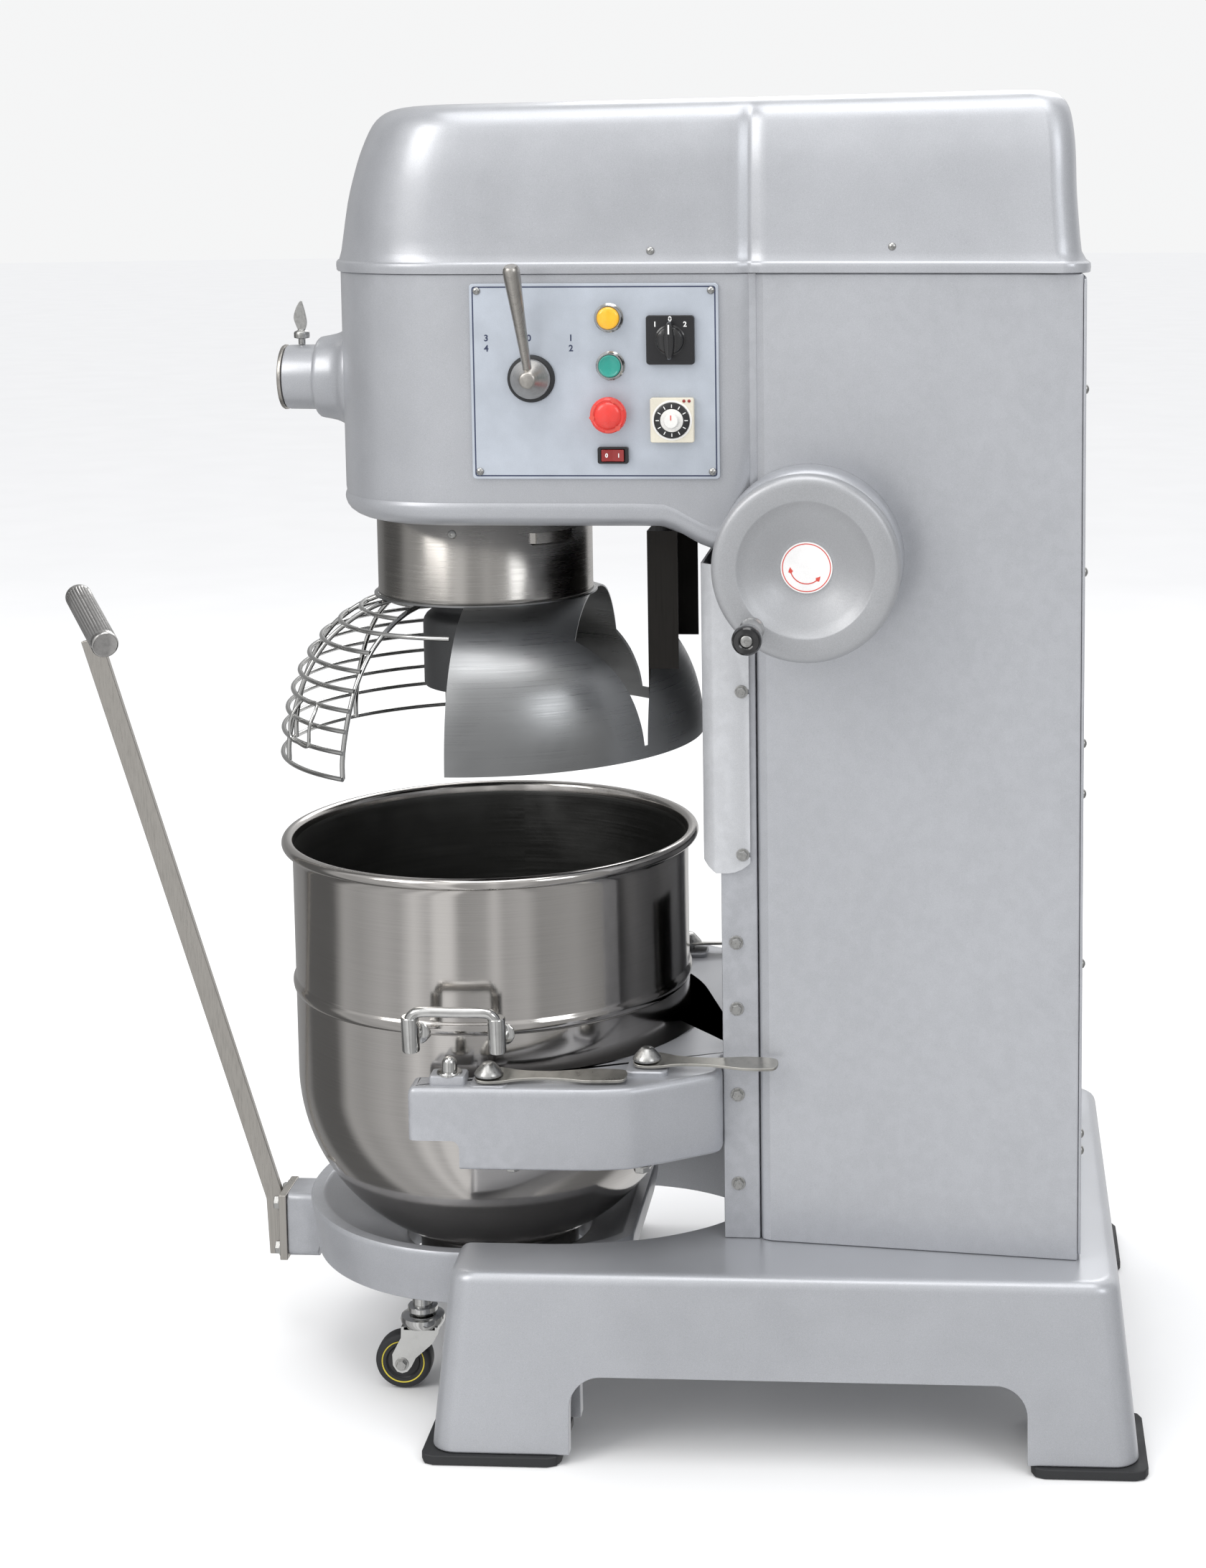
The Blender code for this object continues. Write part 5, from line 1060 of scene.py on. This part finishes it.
for side, s in (("near", 1.0), ("far", -1.0)):
    for k, (px, py, tx, ty) in enumerate(((266.0, 40.0, 262.0, 190.0), (222.0, 208.0, 232.0, 352.0))):
        nm = "latch_%s_%s" % (side, "front" if k == 0 else "rear")
        body = {"near": ("latch_nf", "latch_nr"), "far": ("latch_ff", "latch_fr")}[side][k]
        d = Vector((tx - px, ty - py))
        ln = d.length
        d.normalize()
        nn = Vector((d.y, -d.x))
        st = [(-14.0, 8.0), (-6.0, 14.0), (12.0, 14.0), (30.0, 9.5), (46.0, 7.5), (64.0, 7.0), (80.0, 8.0), (98.0, 10.6), (112.0, 12.0), (ln - 8.0, 11.0), (ln, 6.0)]
        right = [Vector((px, py)) + d * t + nn * w for t, w in st]
        left = [Vector((px, py)) + d * t - nn * w for t, w in reversed(st)]
        poly = [(p[0] * s, p[1]) for p in spline([(q.x, q.y, 0.0) for q in right + left], 4, closed=True)]
        z0 = YK + 5.0 + (0.0 if k == 0 else 4.6)
        tilt = math.tan(math.radians(13.0))
        lps = []
        for h in (0.0, 3.2):
            lps.append([(x, y, z0 + 0.4 + h - ((x * s - px) - d.x * ((x * s - px) * d.x + (y - py) * d.y)) * tilt) for x, y in poly])
        bm = rings(lps)
        emit(bm, nm + "_fine", body, LATCH_M, [nm], smooth=36.0, bevel=0.7, segs=2)
        bm = lathe([(7.0, YK + 0.4), (7.0, z0 + 2.8), (15.4, z0 + 3.0), (16.0, z0 + 4.0), (15.8, z0 + 5.4), (13.0, z0 + 9.0), (9.0, z0 + 13.6), (6.8, z0 + 16.0),
                    (4.4, z0 + 17.2), (0.2, z0 + 17.4)], 48, (px * s, py, 0.0))
        emit(bm, nm + "_pivot", body, SCREW_M, smooth=40.0)
    bm = lathe([(8.8, 413.4), (8.8, 416.0), (8.4, 424.0), (7.6, 428.0), (5.4, 431.0), (2.6, 432.4), (0.2, 432.6)], 40, (267.0 * s, -3.0, 0.0))
    lathe([(14.0, 413.0), (14.0, 415.0), (13.2, 416.0), (8.0, 416.2)], 40, (267.0 * s, -3.0, 0.0), bm=bm)
    emit(bm, "locating_pin_%s" % side, "carriage", CHROME, smooth=40.0)
    bm = bmesh.new()
    hexbolt(bm, (264.0 * s, 64.0, 312.0), (0, 0, -1), 12.0, 7.0)
    hexbolt(bm, (262.0 * s, 205.0, 312.0), (0, 0, -1), 12.0, 7.0)
    emit(bm, "arm_bolts_%s" % side, "carriage", SCREW_M, smooth=30.0, bevel=0.3, segs=1)

# ------------------------------------------------------------------ bowl
BR, RIM, SEAM, SPH, DEP = 231.0, 615.0, 452.0, 345.0, 222.0


def bowl_outer(n=26):
    prof = []
    for k in range(n + 1):
        a = math.radians(66.0 * (1.0 - k / float(n)))
        prof.append((BR * math.cos(a), SPH - DEP * math.sin(a)))
    return prof


op = bowl_outer()
prof = [(40.0, 120.4), (86.0, 120.4), (87.4, 119.6), (88.0, 118.0), (88.0, 101.2), (88.8, 100.4), (93.2, 100.4), (94.0, 101.2), (94.0, op[0][1] - 0.2)]
prof += op + [(BR, 400.0), (BR, 443.0), (BR + 1.4, 444.4), (BR + 2.6, 447.0), (BR + 3.2, 451.0), (BR + 3.0, 453.6), (BR + 1.6, 456.6), (BR + 0.2, 458.4), (BR, 460.0),
              (BR, 530.0), (BR, 600.0), (BR + 0.3, 606.5)]
for k in range(17):
    a = math.radians(-118.0 + (304.0) * k / 16)
    prof.append((236.6 + 6.8 * math.cos(a), RIM + 6.8 * math.sin(a)))
outer_n = len(prof) - 3
t = 2.2
inner_prof = [(BR - t, 610.0), (BR - t, 604.0), (BR - t, 530.0), (BR - t, SEAM)]
for k in range(29):
    a = math.radians(84.0 * k / 28)
    inner_prof.append(((BR - t) * math.cos(a), SPH - (DEP - t) * math.sin(a)))
full = prof + inner_prof
bm = lathe(full, 160)
bm.normal_update()
for f in bm.faces:
    c = f.calc_center_median()
    r = math.hypot(c.x, c.y)
    inside = (r < BR - 1.2 and c.z > 560.0) or (c.z <= 600.0 and f.normal.x * -c.x + f.normal.y * -c.y >= -1.0 and r < BR - 1.0 and c.z > SPH)
    f.material_index = 0
nprof = len(full)
# faces are laid ring by ring: everything past the rim is the inside, which takes the dark grey inside steel as painted
# shade
ring_faces = {}
bm.faces.ensure_lookup_table()
for i, f in enumerate(bm.faces):
    if i < 160 * (nprof - 1) and i // 160 >= len(prof):
        f.material_index = 1
bm.faces[-1].material_index = 1
emit(bm, "bowl_fine", "bowl", BOWL_OUT, ["bowl"], smooth=40.0, mats=[BOWL_OUT, BOWL_IN_SHADED])

for side, s in (("near", 1.0), ("far", -1.0)):
    pts = [(230.0 * s, -44.0, 446.5), (252.0 * s, -44.0, 446.5), (264.0 * s, -44.0, 450.0), (272.0 * s, -44.0, 458.0), (279.0 * s, -43.6, 474.0),
           (281.0 * s, -40.0, 482.0), (281.0 * s, -30.0, 486.0), (281.0 * s, 4.0, 486.0), (281.0 * s, 38.0, 486.0), (281.0 * s, 48.0, 482.0),
           (279.0 * s, 51.6, 474.0), (272.0 * s, 52.0, 458.0), (264.0 * s, 52.0, 450.0), (252.0 * s, 52.0, 446.5), (230.0 * s, 52.0, 446.5)]
    bm = tube(spline(pts, 5), 5.8, 16)
    for y, lean in ((-43.0, -0.05), (51.5, 0.05)):
        spun([(0.2, 0.0), (8.6, 0.0), (9.6, 1.0), (9.8, 2.0), (9.8, 38.0), (9.2, 39.6), (0.2, 40.0)], 36, (277.5 * s, y, 480.0), (-0.08 * s, 0.0, -1.0), bm=bm)
        spun([(0.2, 0.0), (12.0, 0.0), (12.0, 3.0), (10.6, 4.2), (0.2, 4.2)], 32, (231.0 * s, y, 446.5), (1.0 * s, 0.0, 0.0), bm=bm)
    emit(bm, "bowl_handle_%s_fine" % side, "bowl", CHROME, ["bowl_handle_%s" % side], smooth=44.0)

# ------------------------------------------------------------------ trolley
def clipped(r, n, ymax):
    return [(r * math.cos(2 * math.pi * k / n), min(r * math.sin(2 * math.pi * k / n), ymax)) for k in range(n)]


def tl(r, z, ymax, n=128):
    drop = 12.0 if z > 150.0 else 0.0
    return [(x, y, z - drop * min(max((y - 40.0) / 110.0, 0.0), 1.0)) for x, y in clipped(r, n, ymax)]


bm = rings([tl(118.0, 92.2, 112.0), tl(118.0, 126.0, 112.0), tl(211.6, 126.0, 169.0), tl(213.6, 127.4, 170.6), tl(217.5, 155.0, 174.0), tl(221.6, 183.0, 177.8), tl(221.4, 186.6, 177.4), tl(219.5, 189.0, 176.0),
            tl(208.0, 189.0, 165.6), tl(205.6, 188.6, 163.6), tl(202.6, 186.2, 161.0), tl(190.0, 178.0, 152.0), tl(160.0, 161.2, 137.0), tl(126.0, 141.0, 117.0),
            tl(119.0, 137.4, 114.0), tl(111.6, 134.6, 111.0), tl(110.0, 133.0, 110.0), tl(110.0, 92.2, 110.0)], closed=True)
emit(bm, "trolley_dish_fine", "trolley", PAINT_CAST, ["trolley_dish"], smooth=40.0)
bm = lathe([(60.0, 92.2), (59.6, 93.0), (59.6, 99.2), (60.6, 100.0), (97.0, 100.0), (98.0, 99.2), (98.0, 92.2)], 96, closed=True)
box(-116.0, -90.0, -12.0, 12.0, 92.6, 99.4, bm=bm)
box(90.0, 116.0, -12.0, 12.0, 92.6, 99.4, bm=bm)
emit(bm, "trolley_seat", "trolley", PAINT_CAST, smooth=36.0, bevel=0.6, segs=2)
lug = rrect(-30.0, 30.0, 99.0, 177.4, 9.0, 6)
bm = rings([[(x, -250.9, z) for x, z in [(p[0] * 0.97, 138.0 + (p[1] - 138.0) * 0.97) for p in lug]], [(x, -249.2, z) for x, z in lug],
            [(x, -222.0 - 8.0 * (z - 138.0) / 40.0, z) for x, z in lug], [(x, -206.0, 152.0 + (z - 138.0) * 0.6) for x, z in lug]])
emit(bm, "trolley_lug", "trolley", PAINT_CAST, smooth=36.0)
refine("handle_bar", BRUSHED_Z, bevel=1.4, segs=3, smooth=30.0)
bm = bmesh.new()
for x in (-21.0, 21.0):
    for z in (108.0, 136.0, 164.0):
        if abs(z - 136.0) < 1.0:
            continue
        hexbolt(bm, (x, -260.6, z), (0, -1, 0), 11.0, 6.0)
emit(bm, "handle_plate_bolts", "trolley", SCREW_M, smooth=30.0, bevel=0.3, segs=1)

gdir = Vector((math.cos(0.506) * math.cos(0.218), math.sin(0.506) * math.cos(0.218), -math.sin(0.218)))
gc = Vector((50.0, -453.0, 874.0))
gu = gdir.cross(Vector((0, 0, 1))).normalized()
gw = gdir.cross(gu)
NF = 26


def grip_loop(h, r, dep):
    lp = []
    for k in range(NF * 6):
        a = 2 * math.pi * k / (NF * 6)
        q = r - dep * (0.5 - 0.5 * math.cos(a * NF)) ** 1.6
        lp.append(tuple(gc + gdir * h + q * (math.cos(a) * gu + math.sin(a) * gw)))
    return lp


bm = rings([grip_loop(-79.5, 12.0, 0.0), grip_loop(-79.4, 14.2, 0.0), grip_loop(-78.0, 15.4, 0.0), grip_loop(-72.0, 15.4, 0.0), grip_loop(-70.6, 15.4, 1.0),
            grip_loop(-40.0, 15.4, 1.0), grip_loop(0.0, 15.4, 1.0), grip_loop(40.0, 15.4, 1.0), grip_loop(68.0, 15.4, 1.0), grip_loop(69.4, 15.4, 0.0),
            grip_loop(77.6, 15.4, 0.0), grip_loop(79.2, 14.4, 0.0), grip_loop(79.5, 13.4, 0.0), grip_loop(79.2, 12.6, 0.0), grip_loop(79.0, 4.0, 0.0)])
emit(bm, "handle_grip_fine", "trolley", GRIP_M, ["handle_grip"], smooth=32.0)

for nm, (cx, cy) in {"near": (150.0, -64.0), "far": (-150.0, -64.0), "rear": (0.0, 142.0)}.items():
    fb, wb = "fork_" + nm, "wheel_" + nm
    wy, wz = cy - 22.0, 32.5
    bm = lathe([(20.0, 125.6), (21.0, 125.0), (21.0, 121.6), (20.4, 121.0), (13.0, 120.4), (12.2, 119.4), (11.6, 112.0), (11.6, 98.0), (16.4, 97.4), (17.0, 96.6),
                (17.0, 91.6), (16.4, 90.8), (11.6, 90.4), (11.6, 88.4), (22.0, 87.0), (24.6, 85.6), (25.4, 82.0), (24.8, 78.0), (23.0, 75.0), (14.0, 74.6)], 56, (cx, cy, 0.0))
    for sx in (-1.0, 1.0):
        out = [(cy + 20.0, 77.0), (cy + 20.6, 70.0), (cy + 14.0, 58.0), (wy + 16.0, 40.0), (wy + 11.0, 30.0), (wy + 6.0, 23.6), (wy, 21.6), (wy - 6.0, 23.6),
               (wy - 10.6, 31.0), (wy - 11.0, 44.0), (cy - 22.6, 64.0), (cy - 22.0, 77.0)]
        prism(out, cx + sx * 15.0, cx + sx * 17.8, "X", bm=bm)
    prism(rrect(cx - 17.8, cx + 17.8, cy - 22.0, cy + 20.0, 3.0, 4), 73.6, 77.4, bm=bm)
    emit(bm, "caster_fork_%s_fine" % nm, fb, CHROME, ["caster_fork_%s" % nm], smooth=36.0)
    bm = bmesh.new()
    hexbolt(bm, (cx + 17.6, wy, wz), (1, 0, 0), 8.0, 4.0)
    hexbolt(bm, (cx - 17.6, wy, wz), (-1, 0, 0), 8.0, 4.0)
    spun([(3.8, -17.0), (3.8, 17.0)], 20, (cx, wy, wz), (1, 0, 0), bm=bm)
    emit(bm, "caster_axle_%s" % nm, fb, SCREW_M, smooth=32.0)
    tp = [(20.0, -11.4), (26.0, -12.0), (29.4, -11.4), (31.4, -10.0), (32.3, -7.6), (32.5, -4.0), (32.5, 4.0), (32.3, 7.6), (31.4, 10.0), (29.4, 11.4), (26.0, 12.0), (20.0, 11.4)]
    emit(lathe(tp, 80, (cx, wy, wz), "X", closed=True), "caster_wheel_%s_fine" % nm, wb, RUBBER, ["caster_wheel_%s" % nm], smooth=40.0)
    hp = [(4.2, -12.4), (9.0, -12.4), (10.0, -11.4), (11.0, -9.4), (18.0, -8.8), (20.4, -10.6), (20.4, 10.6), (18.0, 8.8), (11.0, 9.4), (10.0, 11.4), (9.0, 12.4), (4.2, 12.4)]
    emit(lathe(hp, 64, (cx, wy, wz), "X", closed=True), "caster_hub_%s" % nm, wb, BLACK, smooth=40.0)
    bm = lathe([(23.4, 11.7), (24.8, 12.25), (24.8, 11.0), (23.4, 11.0)], 72, (cx, wy, wz), "X", closed=True)
    lathe([(23.4, -11.7), (24.8, -12.25), (24.8, -11.0), (23.4, -11.0)], 72, (cx, wy, wz), "X", closed=True, bm=bm)
    emit(bm, "caster_line_%s" % nm, wb, YELLOW, smooth=40.0)

# ------------------------------------------------------------------ fasteners on the castings
bm = bmesh.new()
for y, z in ((222.7, 1302.0), (479.6, 1305.7)):
    xs = (HEAD_HALF - 1.9) if y < 300.0 else col_half(y) - 2.0
    domescrew(bm, (xs, y, z), (1, 0, 0), 4.4, 2.2)
    domescrew(bm, (-xs, y, z), (-1, 0, 0), 4.4, 2.2)
for x in (-236.0, 236.0):
    for z in (1156.0, 962.0, 777.0, 722.0, 535.0, 345.0, 326.0):
        domescrew(bm, (x, 682.5, z), (0, 1, 0), 5.2, 3.2)
emit(bm, "cover_screws", "machine", SCREW_M, smooth=40.0)
bm = bmesh.new()
for s in (1.0, -1.0):
    for z in (826.0, 645.0):
        hexbolt(bm, (210.6 * s, 314.6, z), (s, 0, 0), 7.4, 4.5)
    for z in (270.0, 372.0, 470.0, 545.0):
        hexbolt(bm, (206.0 * s, 306.0, z), (s, 0, 0), 8.0, 4.5)
emit(bm, "way_bolts", "machine", SCREW_M, smooth=30.0, bevel=0.3, segs=1)

# ------------------------------------------------------------------ stage
fm, fnt, fb_, fv = mat_base("floor_pale")
fcol = ramp(fnt, noise(fnt, fv, 3.0, 3.0), [(0.3, 0.915), (0.7, 0.935)])
fnt.links.new(fcol, fb_.inputs["Base Color"])
fb_.inputs["Roughness"].default_value = 0.9
fb_.inputs["Specular IOR Level"].default_value = 0.0
flp = fnt.nodes.new("ShaderNodeLightPath")
ftr = fnt.nodes.new("ShaderNodeBsdfTransparent")
fmx = fnt.nodes.new("ShaderNodeMixShader")
fout = next(n for n in fnt.nodes if n.type == "OUTPUT_MATERIAL")
fnt.links.new(flp.outputs["Is Glossy Ray"], fmx.inputs[0])
fnt.links.new(fb_.outputs[0], fmx.inputs[1])
fnt.links.new(ftr.outputs[0], fmx.inputs[2])
fnt.links.new(fmx.outputs[0], fout.inputs["Surface"])
bm = bmesh.new()
bmesh.ops.create_circle(bm, cap_ends=True, radius=40.0, segments=96)
me = bpy.data.meshes.new("floor")
bm.to_mesh(me)
bm.free()
me.materials.append(fm)
floor = bpy.data.objects.new("floor", me)
SCENE.collection.objects.link(floor)
floor.location.z = -0.0005


def area(name, loc, target, size, power, size_y=None, color=(1, 1, 1)):
    ld = bpy.data.lights.new(name, "AREA")
    ld.shape = "RECTANGLE"
    ld.size = size
    ld.size_y = size_y or size
    ld.energy = power
    ld.color = color
    lo = bpy.data.objects.new(name, ld)
    SCENE.collection.objects.link(lo)
    lo.location = loc
    lo.rotation_mode = "QUATERNION"
    lo.rotation_quaternion = (Vector(target) - Vector(loc)).to_track_quat("-Z", "Y")
    return lo


area("key", (3.0, -3.2, 3.9), (0, 0, 0.8), 2.2, 74.0, 2.8, (1.0, 0.985, 0.96))
area("fill", (3.4, 3.4, 3.2), (0, 0, 0.8), 1.8, 34.0, 2.0, (0.96, 0.98, 1.0))
area("top", (0.6, 0.2, 4.6), (0, 0.1, 0.6), 2.6, 60.0, 3.0)
area("back", (-3.6, 0.4, 3.4), (0, 0, 0.9), 2.2, 44.0, 2.2)

w = bpy.data.worlds.new("studio")
SCENE.world = w
w.use_nodes = True
if hasattr(w, "cycles"):
    w.cycles.sampling_method = "NONE"
wn = w.node_tree
bg = wn.nodes["Background"]
tc = wn.nodes.new("ShaderNodeTexCoord")
sp = wn.nodes.new("ShaderNodeSeparateXYZ")
wn.links.new(tc.outputs["Generated"], sp.inputs[0])
up = ramp(wn, span(wn, sp.outputs["Z"], 0.0, 1.0, -0.25, 1.0), [(0.0, 0.66), (0.20, 0.66), (0.34, 0.62), (0.62, 0.90), (1.0, 1.0)])
at = wn.nodes.new("ShaderNodeMath")
at.operation = "ARCTAN2"
wn.links.new(sp.outputs["Y"], at.inputs[0])
wn.links.new(sp.outputs["X"], at.inputs[1])
band = ramp(wn, span(wn, at.outputs[0], 0.0, 1.0, -math.pi, math.pi),
            [(0.0, 0.62), (0.06, 0.30), (0.14, 0.26), (0.16, 0.08), (0.24, 0.08), (0.265, 0.52), (0.30, 0.44), (0.345, 0.60), (0.375, 0.50), (0.40, 0.95), (0.425, 0.60),
             (0.435, 1.0), (0.462, 1.0), (0.474, 0.42), (0.515, 0.50), (0.53, 0.85), (0.545, 0.50), (0.58, 0.62), (0.60, 0.36), (0.66, 0.44), (0.70, 0.30), (0.735, 0.16),
             (0.82, 0.12), (0.85, 0.60), (0.92, 0.85), (1.0, 0.62)])
env = mixc(wn, mixc(wn, up, (1.45, 1.45, 1.45), 1.0, "MULTIPLY"), band, 0.92, "MULTIPLY")
lp_ = wn.nodes.new("ShaderNodeLightPath")
soft = mixc(wn, env, (0.96, 0.965, 0.98), lp_.outputs["Is Diffuse Ray"])
seen = mixc(wn, soft, (0.915, 0.918, 0.92), lp_.outputs["Is Camera Ray"])
wn.links.new(seen, bg.inputs["Color"])
bg.inputs["Strength"].default_value = 1.0

# ------------------------------------------------------------------ camera
cam_data = bpy.data.cameras.new("camera")
cam = bpy.data.objects.new("camera", cam_data)
SCENE.collection.objects.link(cam)
yaw, pitch, roll = 0.061115, 0.124715, -0.006326
fwd = Vector((-math.cos(yaw) * math.cos(pitch), -math.sin(yaw) * math.cos(pitch), -math.sin(pitch)))
right0 = Vector((-math.sin(yaw), math.cos(yaw), 0.0))
up0 = right0.cross(fwd)
right = right0 * math.cos(roll) + up0 * math.sin(roll)
upv = up0 * math.cos(roll) - right0 * math.sin(roll)
cam.matrix_world = Matrix(((right.x, upv.x, -fwd.x, 0), (right.y, upv.y, -fwd.y, 0), (right.z, upv.z, -fwd.z, 0), (0, 0, 0, 1)))
cam.location = world(3045.831, 560.531, 1389.462)
cam_data.sensor_width = 36.0
cam_data.lens = 61.3418
cam_data.shift_x = -0.13
cam_data.shift_y = -0.18
cam_data.clip_start = 0.05
cam_data.clip_end = 200.0
SCENE.camera = cam
SCENE.view_settings.view_transform = "Standard"
